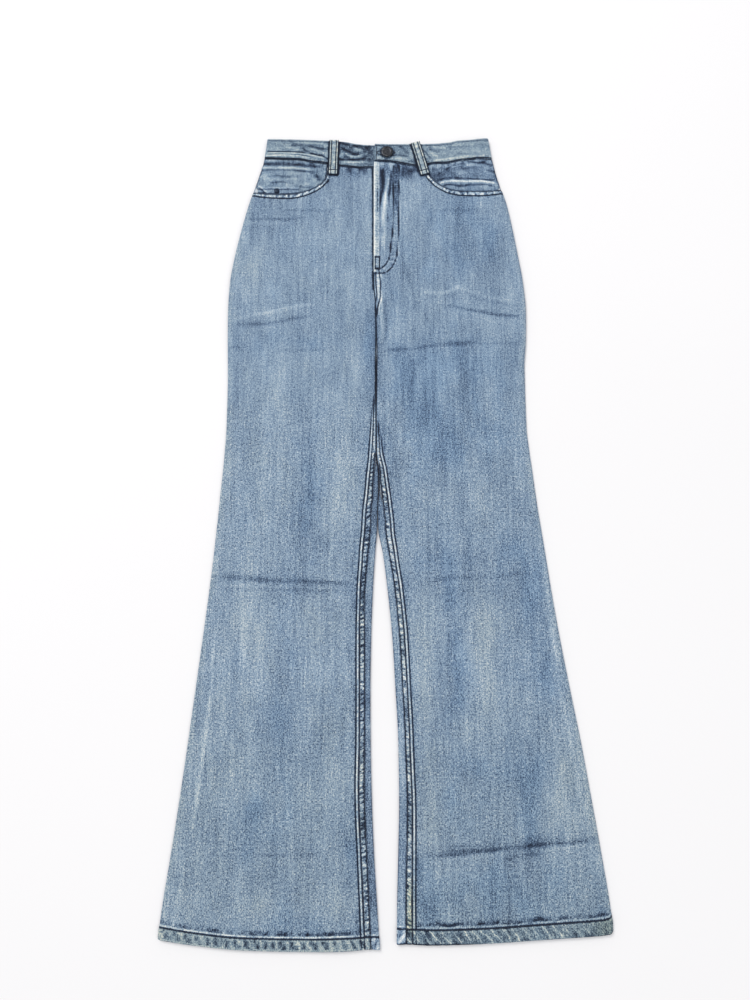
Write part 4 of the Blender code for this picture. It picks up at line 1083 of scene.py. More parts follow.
def back_grid(side):
    out = outward(side)
    rounded = 2.2 * (1 - np.cos(np.linspace(0, math.pi / 2, 6)))
    middle_count, wrap_count = 46, 34
    cols = len(rounded) + middle_count + wrap_count
    shares = np.concatenate([rounded / 230.0, np.linspace(0.01, 0.92, middle_count + 1)[1:], np.linspace(0.92, 1.0, wrap_count + 1)[1:]])
    top = YOKE_SEAM["side"] + (YOKE_SEAM["centre"] - YOKE_SEAM["side"]) * shares - SEAM / 2
    nominal = leg_rows()
    nominal = np.concatenate([nominal[:20], nominal[20:-1][::2], nominal[-1:]])
    low = shear(side, shares[None, :], nominal[:, None])
    rise = np.linspace(0, 1, 14)[1:] ** 0.9
    high = nominal[-1] + rise[:, None] * (top[None, :] - nominal[-1])
    y = np.vstack([low, high])
    x, z = np.zeros_like(y), np.zeros_like(y)
    part = np.zeros_like(y)  # arc distance past the start of the fold
    for r in range(y.shape[0]):
        yy = y[r]
        floor, seam = LEVEL["back"](yy), LEVEL["side"](yy) - SEAM / 2
        apart, radius = legs_apart(yy), fold_radius(yy)
        start = back_inner_x(side, yy) + out * radius * apart
        width = out * (outer_x(side, yy) - start)
        arc = math.pi * radius
        share = smooth(0.0, 6.0, strip(side, yy))
        end = np.where(apart < 1, apart * arc / 2, arc / 2 * (1 - share) + (arc + strip(side, yy) - radius) * share)
        for j in range(cols):
            if j < len(rounded):
                d = rounded[j]
                x[r, j] = outer_x(side, yy[j]) - out * d
                z[r, j] = seam[j] + (floor[j] - seam[j]) * quarter(d, 2.2)
                continue
            table = wrap_table(float(end[j]), float(arc[j]), wrap_count) if j >= len(rounded) + middle_count else None
            if table is None:
                k = (j - len(rounded) + 1) / (middle_count + 1)
                begin = wrap_table(float(end[j]), float(arc[j]), wrap_count)[0]
                inward = rounded[-1] + (width[j] + begin - rounded[-1]) * k
                x[r, j], z[r, j] = outer_x(side, yy[j]) - out * inward, floor[j]
                continue
            s = table[j - len(rounded) - middle_count]
            part[r, j] = s
            if s <= 0:
                x[r, j], z[r, j] = start[j] - out * s, floor[j]
            elif s <= arc[j]:
                angle = s / radius[j]
                x[r, j] = start[j] - out * radius[j] * math.sin(angle)
                z[r, j] = floor[j] + radius[j] * (1 - math.cos(angle))
            else:
                x[r, j], z[r, j] = start[j] + out * (s - arc[j]), floor[j] + 2 * radius[j]
    return x, y, z, part


def back_pocket_outline(side):
    p, out = BACK_POCKET, outward(side)

    def at(s, v):
        width = p["width_bottom"] + (p["width_top"] - p["width_bottom"]) * v
        x = BACK_CENTRE + out * (p["inner"] + p["width_top"] / 2 + width * (s - 0.5) + p["lean"] * (v - 0.5))
        low = p["y_side"] + (p["y_point"] - p["y_side"]) * (1 - abs(2 * s - 1))
        return x, low + (p["y_top"] - low) * v

    return at


def back_fields(side, x, y, on_top, turn):
    """on_top is where the panel has come up beside the inside leg, turn is 0 to 1 round its fold."""
    f = Field(x, y)
    x, y, on_top, turn = f.x, f.y, np.ravel(on_top), np.ravel(turn)
    out = outward(side)
    under = 1 - on_top
    f.rise += under * smooth(262, 300, y) * 0.30 * noise(x / 40, y / 60, 71)
    f.wash += 0.035 * noise(x / 14, y / 120, 72) + 0.06 * noise(x / 38, y / 52, 73) + 0.04 * noise(x / 17, y / 24, 77)
    side_in = out * (outer_x(side, y) - x)
    # painted shade along the side edge
    f.wash += -0.25 * under * bell(side_in, 1.7)
    # seat and back of the knee
    f.wash += under * 0.12 * np.exp(-(((x - out * 100) / 70) ** 2) - ((y - 260) / 90) ** 2)
    f.wash += under * 0.06 * np.exp(-(((x - out * 130) / 60) ** 2) - ((y + 60) / 160) ** 2)
    below = under > 0.5
    # folds across the back: relief, with painted shade in the troughs and painted light on the ridges
    for seed, (points, width, height, wash) in enumerate(
        [
            ([(40, -88), (90, -92), (150, -90), (215, -86)], 5.0, -0.35, -0.25),
            ([(36, -98), (100, -101), (170, -98), (220, -96)], 2.4, 0.3, 0.22),
            ([(40, -440), (110, -443), (190, -438), (262, -432)], 5.0, -0.3, -0.2),
            ([(38, 236), (80, 240), (130, 236), (196, 240)], 4.5, -0.3, -0.24),
            ([(20, 205), (60, 196), (110, 190), (160, 192)], 4.0, 0.3, 0.2),
            ([(26, 186), (70, 176), (118, 172)], 4.0, -0.3, -0.2),
            ([(60, -60), (110, -52), (160, -56)], 3.5, 0.25, 0.18),
            ([(50, -124), (110, -128), (180, -122)], 4.0, 0.2, 0.14),
        ]
    ):
        g = Field(x, y)
        g.crease([(out * px, py) for px, py in points], width, height, 0.68 * wash, 200 + 17 * seed + (3 if side == "left" else 0))
        f.rise += np.where(below, g.rise, 0)
        f.wash += np.where(below, g.wash, 0)
    # the strip on top: smoother and greyer, with painted shade at the inseam and where it turns down
    a = -front_edge_distance(side, x, y)
    far = strip(side, y) - a
    tone = -0.14 if side == "right" else 0.02
    f.wash += on_top * (tone - 0.45 * bell(a, 0.7) - 0.18 * bell(far, 0.9) + 0.08 * noise(y / 14, a / 6, 74) + 0.10 * noise(y / 44, 0, 78))
    close = smooth(-30, 60, y) * (1 - smooth(196, 258, y))
    f.wash += -0.45 * close * on_top * bell(far, 0.7)
    # painted shade round the fold's turn, much deeper on the upper legs where the fold goes down between them
    f.wash += -0.3 * smooth(0.1, 0.4, turn) * (1 - smooth(0.50, 0.62, turn)) - 1.4 * smooth(-60, 30, y) * smooth(0.05, 0.25, turn) * (1 - smooth(0.54, 0.68, turn))
    # hem: roping, its row darkened with painted shade, and a light line above it
    e = above_hem(side, x, y)
    row = HEM_ROW[side]
    band = 1 - smooth(row - 1.0, row - 0.3, e)
    twist = np.sin(2 * math.pi * (x - 0.6 * e) / 12.4 + 2.0 * noise(x / 31, 0, 75)) * (0.75 + 0.45 * noise(x / 19, 0, 76))
    every = np.arange(len(x))
    f.rise += band * 0.25 * twist * on_top - 0.3 * bell(e - row, 0.8)
    f.wash += band * (0.22 + 0.40 * twist) - 1.4 * bell(e - row, 0.9) + 0.75 * bell(e - row - 2.0, 0.8)
    f.rope_on(every, 0.5 * band, x - 0.6 * e, e)
    # painted contact shadow along the left hem's lower edge
    if side == "left":
        f.wash += -1.4 * bell(e, 1.3) * on_top
    # centre seam above the crotch, its rows on the left panel darkened with painted shade, and painted shade along the
    # seam itself
    centre = smooth(262, 280, y) * under
    a = np.abs(x - back_inner_x(side, y))
    if side == "left":
        f.rise += centre * (-0.3 * bell(a - 1.6, 0.7) - 0.3 * bell(a - 8.0, 0.7))
        f.wash += centre * (-1.1 * bell(a - 1.6, 0.9) - 1.1 * bell(a - 8.0, 0.9) + 0.25 * bell(a - 4.8, 2.0))
        f.rope_on(every, 0.7 * centre * smooth(2, 3, a) * (1 - smooth(6.6, 7.6, a)), y, a)
    f.wash += -0.9 * centre * bell(a, 1.0)
    # painted shade beside the yoke and under the pockets' edges
    seam_y = YOKE_SEAM["side"] + (YOKE_SEAM["centre"] - YOKE_SEAM["side"]) * np.clip(side_in / 180.0, 0, 1)
    f.wash += -0.8 * under * bell(seam_y - y, 1.4)
    at = back_pocket_outline(side)
    line = [at(0, 1), at(0, 0), at(0.5, 0), at(1, 0), at(1, 1)]
    for start, end in zip(line, line[1:]):
        g = Field(x, y)
        g.crease([start, end], 2.0, 0.0, -0.85, 300, 0.02)
        f.wash += np.where(below, g.wash, 0)
    return f


def back_leg(side):
    x, y, z, part = back_grid(side)
    radius = fold_radius(y)
    on_top = smooth(0.35, 0.65, part / (math.pi * radius)) * legs_apart(y)
    turn = np.clip(part / (math.pi * radius), 0, 1) * legs_apart(y)
    field = back_fields(side, x, y, on_top, turn)
    fold = hem_fold(side, x, y)
    floor = LEVEL["back"](y)
    z = z + fold * (0.5 + 0.45 * (z - floor) / (2 * radius))
    middle = np.stack([x, y, z], axis=-1)
    half = CLOTH / 2 + 0.5 * fold
    return shell(f"back_{side}_leg_cloth", middle, half, -1.0, field, seed=3.0 if side == "right" else 4.0, outside=(turn > 0.3).astype(float))


# ---------------------------------------------------------------- pockets and yokes


def facing_grid(side):
    out = outward(side)
    v = np.concatenate([np.linspace(0, 0.36, 14, endpoint=False), np.linspace(0.36, 1.0, 44)])[:, None]
    rounded = SIDE_ROUND * (1 - np.cos(np.linspace(0, math.pi / 2, 8)))
    share = np.linspace(0, 1, 61)
    y = POCKET_BOTTOM + (530.0 - POCKET_BOTTOM) * np.repeat(v, len(rounded) + len(share) - 1, axis=1)
    for _ in range(4):
        edge = outer_x(side, y) - out * 6.0 * (1.0 - smooth(481.0, 488.0, y))
        turn = edge[:, : len(rounded)] - out * rounded[None, :]
        begin = edge[:, len(rounded) :] - out * SIDE_ROUND
        flat = begin + (POCKET_INNER[side] - begin) * share[None, 1:]
        x = np.hstack([turn, flat])
        top = np.where(out * (outer_x(side, 525.0) - x) < 10, np.minimum(SEAM_LINE[side](x), band_low(x)), SEAM_LINE[side](x)) - 2 * SEAM
        y = POCKET_BOTTOM + (top - POCKET_BOTTOM) * v
    return x, y


# Folds on the pocket facings: points, half width, height and tone, with painted shade in the troughs and painted light
# on the ridges.
FACING_CREASES = {
    "right": [
        ([(-192, 517.4), (-160, 518.0), (-128, 517.0), (-104, 513.6)], 1.4, 0.55, 0.74),
        ([(-192, 523.4), (-150, 523.6), (-122, 522.2), (-96, 518.4)], 3.0, -0.6, -0.92),
        ([(-190, 513.4), (-160, 514.2), (-126, 512.8), (-104, 509.2)], 1.3, -0.45, -0.85),
        ([(-176, 503.5), (-158, 505.0), (-140, 502.0)], 1.5, -0.3, -0.55),
        ([(-182, 498), (-150, 498.4), (-122, 499)], 2.2, 0.35, 0.42),
        ([(-104, 508), (-99.4, 501.5), (-95, 497)], 2.2, -0.45, -0.95),
        ([(-116, 511), (-113, 504), (-116, 497)], 1.5, 0.3, 0.45),
        ([(-172, 493.5), (-152, 494.5), (-134, 491)], 1.3, -0.35, -0.80),
        ([(-136, 506), (-131, 499), (-134, 492)], 1.4, 0.2, 0.35),
        ([(-122, 492), (-108, 489.5), (-100, 493)], 2.4, 0.2, 0.32),
        ([(-128, 487), (-116, 486), (-106, 488.5)], 1.5, -0.3, -0.60),
    ],
    "left": [
        ([(74, 490.4), (84, 494.2), (97, 496.4), (126, 495.2), (142, 495.8), (168, 491.6)], 1.4, 0.75, 1.35),
        ([(72, 496.0), (84, 499.2), (98, 501.2), (130, 500.0), (168, 497.4)], 1.4, -0.6, -1.05),
        ([(84, 488.6), (96, 491.2), (112, 489.0), (127, 490.4), (149, 490.4), (168, 486.6)], 1.5, -0.55, -1.20),
        ([(90, 513.6), (97, 519.0), (106, 522.6), (121, 525.6)], 1.5, -0.4, -0.95),
        ([(78, 505.6), (80, 508.0), (83, 510.6)], 1.7, -0.4, -0.85),
        ([(64, 505), (67.5, 499.0), (73, 494)], 2.2, -0.4, -1.20),
        ([(122, 527.6), (134, 526.4), (145.2, 525.9), (149, 529.6)], 1.5, -0.5, -1.55),
        ([(120, 522.6), (134, 521.4), (146, 520.6), (158, 516)], 1.6, 0.4, 0.60),
        ([(146, 526.4), (153, 523.6), (161, 520.4)], 1.4, -0.5, -1.15),
        ([(92, 524), (102, 527), (112, 528)], 1.6, 0.3, 0.50),
        ([(104, 508), (130, 511), (158, 507)], 4.0, 0.3, 0.26),
        ([(84, 520), (98, 509), (108, 503)], 2.4, -0.25, -0.34),
        ([(150, 514), (162, 511), (172, 507)], 1.5, -0.3, -0.55),
        ([(112, 516), (128, 517), (144, 513)], 1.5, -0.25, -0.40),
    ],
}


def facing_fields(side, x, y):
    f = Field(x, y)
    x, y = f.x, f.y
    for seed, (points, width, height, wash) in enumerate(FACING_CREASES[side]):
        f.crease(points, width, height, 0.62 * wash, 400 + 13 * seed + (5 if side == "left" else 0), 0.12)
    f.wash += 0.16 * noise(x / 6, y / 4, 81) + 0.10 * noise(x / 15, y / 8, 84) - 0.06
    f.rise += 0.12 * noise(x / 12, y / 6, 82)
    drop = SEAM_LINE[side](x) - y
    # painted shade under the waist seam
    f.wash += -0.55 * bell(drop, 1.2)
    pleat = noise(x / 3.6, drop / 9, 83)
    f.wash += 0.34 * pleat * np.exp(-((drop / 9) ** 2))
    f.rise += 0.22 * pleat * np.exp(-((drop / 9) ** 2))
    # painted shade along the front panel's edge and under it, along the side edge and round the belt loops
    inside = clear_of_scoop(side, x, y)
    f.wash += -1.5 * bell(inside, 1.5) - 1.0 * (inside < 0)
    f.wash += -0.55 * bell(outward(side) * (outer_x(side, y) - x), 1.8)
    f.wash += -1.6 * bell(np.maximum(around_loops(x, y), 0), 1.5)
    if side == "right":
        f.wash += -0.22 * bell(drop - 7, 4) * smooth(-190, -176, x) * (1 + 1.4 * noise(x / 5, y / 4, 86)) + 0.05
        f.stain += 0.14
    else:
        f.wash += -0.17 * smooth(5, 11, drop) * (1 - smooth(27, 33, drop)) * (0.9 + 0.4 * noise(x / 9, y / 6, 85))
    return f


def facing(side):
    x, y = facing_grid(side)
    field = facing_fields(side, x, y)
    middle = np.stack([x, y, facing_height(side, x, y)], axis=-1)
    return shell(f"pocket_facing_{side}_cloth", middle, CLOTH / 2, 1.0, field, seed=5.0 if side == "right" else 6.0)


def coin_pocket():
    v, s = np.linspace(0, 1, 24)[:, None], np.linspace(0, 1, 44)[None, :]
    x = COIN["x_outer"] + (COIN["x_inner"] - COIN["x_outer"]) * s + 0 * v
    y = COIN["y_bottom"] + (COIN["y_top"] - COIN["y_bottom"]) * v + 0 * s
    y = y + 2.4 * smooth(0.35, 0.0, s) * v  # the top edge runs up to the side seam
    f = Field(x, y)
    # folds and the top edge: painted light on the ridges, painted shade in the trough
    f.crease([(-190, 489), (-182, 484), (-174, 476)], 1.2, 0.35, 0.62, 501, 0.1)
    f.crease([(-187, 485), (-181, 480), (-176, 474)], 1.5, -0.3, -1.1, 502, 0.1)
    f.crease([(-186, 484.6), (-160, 485.2), (-128, 484.4)], 0.9, 0.2, 0.24, 503, 0.02)
    f.groove([(-188, 482.8), (-160, 482.6), (-128, 482.0)], 0.8, 0.2, -0.55)
    f.wash += 0.14 * noise(f.x / 5, f.y / 4, 91) - 0.05
    off = np.hypot(f.x - RIVET["x"], f.y - RIVET["y"])
    f.wash += 0.45 * bell(off - 5.6, 1.1) - 1.2 * bell(off, 4.2)
    # painted shade along the front panel's edge
    f.wash += -1.3 * bell(clear_of_scoop("right", f.x, f.y), 1.4)
    z = facing_height("right", x, y) + LAYER + 0.15
    z = z - 0.9 * smooth(0.10, 0.0, s) * v
    return shell("coin_pocket_cloth", np.stack([x, y, z], axis=-1), CLOTH / 2, 1.0, f, seed=7.0)


def yoke(side):
    out = outward(side)
    rounded = 2.2 * (1 - np.cos(np.linspace(0, math.pi / 2, 6)))
    share = np.concatenate([rounded / 175.0, np.linspace(rounded[-1] / 175.0, 1.0, 54)[1:]])[None, :]
    v = np.concatenate([np.linspace(0, 0.25, 10, endpoint=False), np.linspace(0.25, 1, 16)])[:, None]
    low = YOKE_SEAM["side"] + (YOKE_SEAM["centre"] - YOKE_SEAM["side"]) * share + SEAM / 2 + 0 * v
    y = low
    for _ in range(4):
        edge = outer_x(side, y)
        x = edge + (BACK_CENTRE + out * SEAM / 2 - edge) * share
        y = low + (band_low(x) - 2 * SEAM - low) * v
    edge = outer_x(side, y)
    x = edge + (BACK_CENTRE + out * SEAM / 2 - edge) * share
    floor, seam = LEVEL["back"](y), LEVEL["side"](y) - SEAM / 2
    z = seam + (floor - seam) * quarter(out * (edge - x), 2.2)
    f = Field(x, y)
    line = [(float(q), float(w)) for q, w in zip(x[0, ::6], low[0, ::6])]
    if side == "left":
        line = line[::-1]
    f.pucker(line, 2.4, 6.8, 6.0, 0.14, 0.20, 0.9, 0.2, 101, lean=0.08)
    for d in (1.6, 7.6):
        f.groove([(q, w + d) for q, w in line], 0.9, 0.28, -1.2)
    # painted shade down the centre seam
    f.wash += -0.9 * bell(f.x - BACK_CENTRE, 1.0) + 0.06 * noise(f.x / 12, f.y / 9, 102)
    if side == "left":
        for d in (1.6, 8.0):
            f.groove([(BACK_CENTRE + d, 452), (BACK_CENTRE + d, 520)], 0.9, 0.28, -1.1)
    return shell(f"yoke_{side}_cloth", np.stack([x, y, z], axis=-1), CLOTH / 2, -1.0, f, seed=8.0 if side == "right" else 9.0)


def back_pocket(side):
    at = back_pocket_outline(side)
    v, s = np.linspace(0, 1, 62), np.linspace(0, 1, 57)
    grid = np.array([[at(q, w) for q in s] for w in v])
    x, y = grid[..., 0], grid[..., 1]
    f = Field(x, y)
    outline = [at(0, 1), at(0, 0), at(0.5, 0), at(1, 0), at(1, 1)]
    for start, end in zip(outline, outline[1:]):
        a, b = np.array(start), np.array(end)
        along = (b - a) / np.linalg.norm(b - a)
        inside = np.array([-along[1], along[0]]) * (1 if side == "left" else -1)
        for d in (1.8, 7.8):
            p, q = a + inside * d, b + inside * d
            g = Field(f.x, f.y)
            g.groove([tuple(p), tuple(q)], 0.9, 0.25, -1.1)
            f.rise += g.rise
            f.wash += g.wash
        g = Field(f.x, f.y)
        g.crease([start, end], 1.1, 0.0, 0.55, 111, 0.02)
        f.wash += g.wash
    f.wash += 0.10 * np.exp(-(((f.y - 360) / 60) ** 2)) + 0.08 * noise(f.x / 12, f.y / 30, 112)
    top = BACK_POCKET["y_top"] - f.y
    # the top hem's two rows, darkened with painted shade
    for d in (2.2, 14.0):
        f.wash += -1.0 * bell(top - d, 0.9)
    f.rope_on(np.arange(len(f.x)), 0.5 * (1 - smooth(11, 14, top)), f.x, top)
    z = np.full_like(x, CLOTH / 2)
    return shell(f"back_pocket_{side}_cloth", np.stack([x, y, z], axis=-1), CLOTH / 2, -1.0, f, seed=10.0 if side == "right" else 11.0)


# ---------------------------------------------------------------- waistband and loops


def band_level(x):
    rise = 1 - smooth(34.0, 66.0, x)
    return BAND_LEVEL["front"] + (BAND_LEVEL["over"] - BAND_LEVEL["front"]) * rise


def band_path():
    """The band's run: (kind, value, height, share towards the back, which front)."""
    radius = (BAND_LEVEL["front"] - BAND_LEVEL["back"]) / 2
    path = []
    for x in np.arange(26.0, -177.0, -2.0):
        path.append(("x", x, BAND_LEVEL["front"], 0.0, "right"))
    for angle in np.linspace(0, math.pi, 11)[1:-1]:
        path.append(("l", -radius * math.sin(angle), BAND_LEVEL["back"] + radius * (1 + math.cos(angle)), angle / math.pi, "right"))
    for x in np.linspace(-176.0, 158.0, 120):
        path.append(("x", x, BAND_LEVEL["back"], 1.0, "right" if x < 0 else "left"))
    for angle in np.linspace(0, math.pi, 11)[1:-1]:
        path.append(("r", radius * math.sin(angle), BAND_LEVEL["back"] + radius * (1 - math.cos(angle)), 1 - angle / math.pi, "left"))
    for x in np.append(np.arange(158.0, BAND_OVER, -2.0), BAND_OVER):
        path.append(("x", x, float(band_level(x)), 0.0, "left"))
    return path


# Folds on the band's front: points, half width, height and tone, with painted shade in the troughs and painted light on
# the ridges.
BAND_CREASES = {
    "right": [
        ([(-184, 543.2), (-157, 543.3), (-127, 542.6), (-118, 541.0)], 1.3, -0.75, -1.95),
        ([(-184, 540.9), (-150, 541.2), (-124, 539.8), (-104, 535.8), (-88, 531.8)], 0.9, 0.4, 1.05),
        ([(-184, 539.0), (-150, 539.2), (-126, 537.8), (-106, 533.8)], 0.8, -0.25, -0.70),
        ([(-184, 537.2), (-150, 537.4), (-126, 536.2), (-112, 533.2)], 0.9, 0.35, 0.90),
        ([(-180, 548), (-150, 549), (-128, 547.4)], 2.0, 0.3, 0.42),
        ([(-123, 548.6), (-118.5, 545.6), (-114, 542.4)], 1.5, -0.4, -1.0),
        ([(-113, 541.4), (-104, 538.6), (-96, 536.2)], 1.4, -0.5, -1.70),
        ([(-98, 538.8), (-91, 535.0), (-84, 531.0)], 1.5, -0.5, -1.60),
        ([(-142, 554), (-122, 553), (-100, 549.6), (-84, 546.4)], 2.6, -0.45, -0.80),
        ([(-136, 559), (-112, 557.6), (-90, 556)], 1.5, 0.3, 0.55),
        ([(-116, 549.6), (-104, 546), (-90, 541)], 1.5, 0.3, 0.52),
        ([(-106, 553.6), (-96, 551), (-86, 550)], 1.2, 0.2, 0.40),
        ([(-69.7, 530.2), (-52, 530.0), (-38, 531.4), (-29, 533.4)], 1.3, -0.6, -1.10),
        ([(-67, 526.0), (-52, 525.4), (-38, 525.8), (-24, 527.2)], 1.9, 0.45, 1.00),
        ([(-66, 549), (-56, 545), (-48, 539), (-38, 540)], 2.4, -0.5, -0.85),
        ([(-60, 541), (-54, 536.4), (-42, 535.2), (-32, 537.4)], 1.3, 0.45, 0.95),
        ([(-46, 549), (-38, 545.4), (-28, 546)], 1.4, 0.4, 0.75),
        ([(-30, 553), (-26, 547), (-20, 543)], 2.0, -0.4, -0.75),
        ([(-68, 555), (-54, 553.6), (-40, 550)], 1.6, -0.3, -0.60),
    ],
    "left": [
        ([(-14, 532.6), (0, 531.6), (20, 530.4), (38, 528)], 1.6, 0.35, 0.60),
        ([(-14, 537.4), (4, 536.4), (22, 536), (36, 533.6)], 1.5, -0.35, -0.65),
        ([(20, 551), (30, 545), (36, 538)], 2.2, -0.4, -0.60),
        ([(58, 546), (63, 539.5), (68, 532.4)], 1.7, -0.5, -1.10),
        ([(66, 549), (74, 544.6), (84, 543)], 1.5, -0.4, -0.75),
        ([(68, 543), (73, 538), (80, 534)], 1.5, 0.35, 0.62),
        ([(70, 552), (80, 549.6), (92, 550)], 1.6, 0.3, 0.45),
        ([(100, 556), (118, 558), (134, 556)], 2.6, 0.3, 0.22),
        ([(96, 543), (124, 546), (156, 546)], 2.6, 0.25, 0.22),
        ([(90, 549.4), (112, 552), (140, 552.6)], 1.3, -0.2, -0.34),
        ([(74, 529.6), (96, 531.4), (120, 535.0), (150, 537)], 1.3, 0.25, 0.75),
    ],
}


def waistband():
    path = band_path()
    v = np.concatenate([np.linspace(0, 0.34, 13, endpoint=False), np.linspace(0.34, 0.9, 13, endpoint=False), np.linspace(0.9, 1.0, 5)])
    radius = (BAND_LEVEL["front"] - BAND_LEVEL["back"]) / 2
    ends = {
        "l": [float(OUTLINE["right_out"](y)) + BAND_WALL / 2 + radius for y in (533.0, 565.0)],
        "r": [float(OUTLINE["left_out"](y)) - BAND_WALL / 2 - radius for y in (533.0, 565.0)],
    }
    rows = []
    run = 0.0
    for kind, value, z, back, which in path:
        if kind == "x":
            # straight stretches stop at the turn, which leans with the band's end
            low_end, high_end = ends["l"][0] + (ends["l"][1] - ends["l"][0]) * v, ends["r"][0] + (ends["r"][1] - ends["r"][0]) * v
            x = np.clip(np.full_like(v, value), low_end, high_end)
        else:
            x = ends[kind][0] + (ends[kind][1] - ends[kind][0]) * v + value
        low = SEAM_LINE[which](x) * (1 - back) + band_low(x) * back + SEAM / 2
        high = TOP_LINE[which](x) * (1 - back) + band_high(x) * back
        rows.append(np.stack([x, low + (high - low) * v, np.full_like(v, z)], axis=-1))
    p = np.array(rows)
    # drop stretches that the clip has folded onto one line
    keep = [0]
    for r in range(1, len(p)):
        if np.linalg.norm(p[r] - p[keep[-1]], axis=1).min() > 0.25:
            keep.append(r)
    p = p[keep]
    path = [path[k] for k in keep]
    step = np.linalg.norm(np.diff(p[:, 10], axis=0), axis=1)
    run = np.concatenate([[0.0], np.cumsum(step)])
    x, y = p[..., 0], p[..., 1]
    front = np.array([1.0 - q[3] for q in path])[:, None]
    f = Field(x, y)
    for side in SIDES:
        g = Field(x, y)
        for seed, (points, width, height, wash) in enumerate(BAND_CREASES[side]):
            g.crease(points, width, height, 0.70 * wash, 600 + 13 * seed + (7 if side == "left" else 0), 0.08)
        on = (np.array([q[4] == side for q in path])[:, None] * (front > 0.9) * np.ones_like(x)).ravel()
        f.rise += g.rise * on
        f.wash += g.wash * on
    low = np.stack([p[:, 0, 1]] * p.shape[1], axis=-1)
    high = np.stack([p[:, -1, 1]] * p.shape[1], axis=-1)
    up, down = (y - low).ravel(), (high - y).ravel()
    along = (run[:, None] + 0 * x).ravel()
    on_front = (front * np.ones_like(x)).ravel()
    # the lower edge and its stitched row darkened with painted shade; lighter along the top edge and darker a little
    # under it
    f.rise += -0.30 * bell(up - 1.6, 0.8)
    f.wash += -1.50 * bell(up - 1.1, 0.85) - 0.35 * bell(up, 0.6)
    f.wash += 0.30 * bell(down - 0.4, 0.9) - 0.42 * bell(down - 2.6, 1.0)
    light = (x.ravel() < -70) * on_front * smooth(2.8, 3.8, up) * (1 - smooth(7.6, 9.0, up))
    f.wash += 0.12 * light + on_front * (0.10 * (x.ravel() > 70) - 0.07)
    f.stain += 0.27 * on_front
    blue = on_front * (x.ravel() > -72) * (x.ravel() < -16) * smooth(9, 12, up)
    f.wash += -0.22 * blue + 0.30 * blue * noise(along / 7, up / 4, 125)
    f.rope_on(np.arange(len(along)), 0.45 * smooth(2.2, 3.0, up) * (1 - smooth(6, 9, up)) + 0.5 * blue, along, up)
    f.wash += -0.04 + 0.13 * noise(along / 6, up / 3.2, 121) + 0.08 * noise(along / 26, up / 9, 122)
    f.rise += 0.13 * noise(along / 10, up / 6, 123)
    # beside the loops and the button: painted shadow round them, and pinched pleats beside the loops
    off = around_loops(f.x, f.y)
    f.wash += -2.0 * on_front * bell(np.maximum(off, 0), 1.6)
    pinch = on_front * bell(np.maximum(off, 0), 9.0) * (off > 0)
    f.rise += 0.35 * pinch * noise(f.y / 4.5, 0, 124)
    f.wash += 0.34 * pinch * noise(f.y / 4.5, 0, 124)
    rim = np.hypot(f.x - BUTTON["x"], f.y - BUTTON["y"])
    f.wash += -0.70 * on_front * bell(rim - 9.4, 1.5) * (f.x > -15)
    f.rise += -0.35 * on_front * np.exp(-((rim / 12.0) ** 2))
    cloth = np.dstack([y, along.reshape(x.shape)])
    # its face is outside, so it looks up where the path runs on the front
    n = normals(p)
    same = (np.mean(n[:20, :, 2]) > 0) == (np.sum(n[..., 2]) > 0)
    return shell("waistband_cloth", p, BAND_WALL / 2 * 0.92, 1.0 if same else -1.0, f, cloth=cloth, seed=12.0, tuck=0.9)


def loop_form(x_top, y_top, x_bottom, y_bottom, width, at_back, v, s):
    """A loop's middle surface at shares v along and s across (-0.5 to 0.5)."""
    side = "right" if x_top < 0 else "left"
    v, s = np.broadcast_arrays(v, s)
    x, y = x_bottom + (x_top - x_bottom) * v, y_bottom + (y_top - y_bottom) * v
    if at_back:
        z = np.full_like(x, CLOTH / 2)
        fly = 0.0
    else:
        tops = [BAND_LEVEL["front"] + BAND_WALL / 2 if side == "right" else band_level(x + d) + BAND_WALL / 2 for d in (-width / 2 - 3.0, 0.0, width / 2 + 3.0)]
        on_band = np.maximum.reduce([t + 0 * x for t in tops]) + SEAM + LOOP_WALL / 2
        on_leg = LEVEL["front"](y_bottom) + fly_lift(side, x, y_bottom) + CLOTH / 2 + SEAM + LOOP_WALL / 2
        z = np.maximum(on_leg, on_band) + 0.8 * np.sin(math.pi * v) ** 2
    direction = np.array([y_top - y_bottom, x_bottom - x_top])
    direction = direction / np.linalg.norm(direction)
    px, py = x + direction[0] * s * width, y + direction[1] * s * width
    return np.stack([px, py, z], axis=-1)


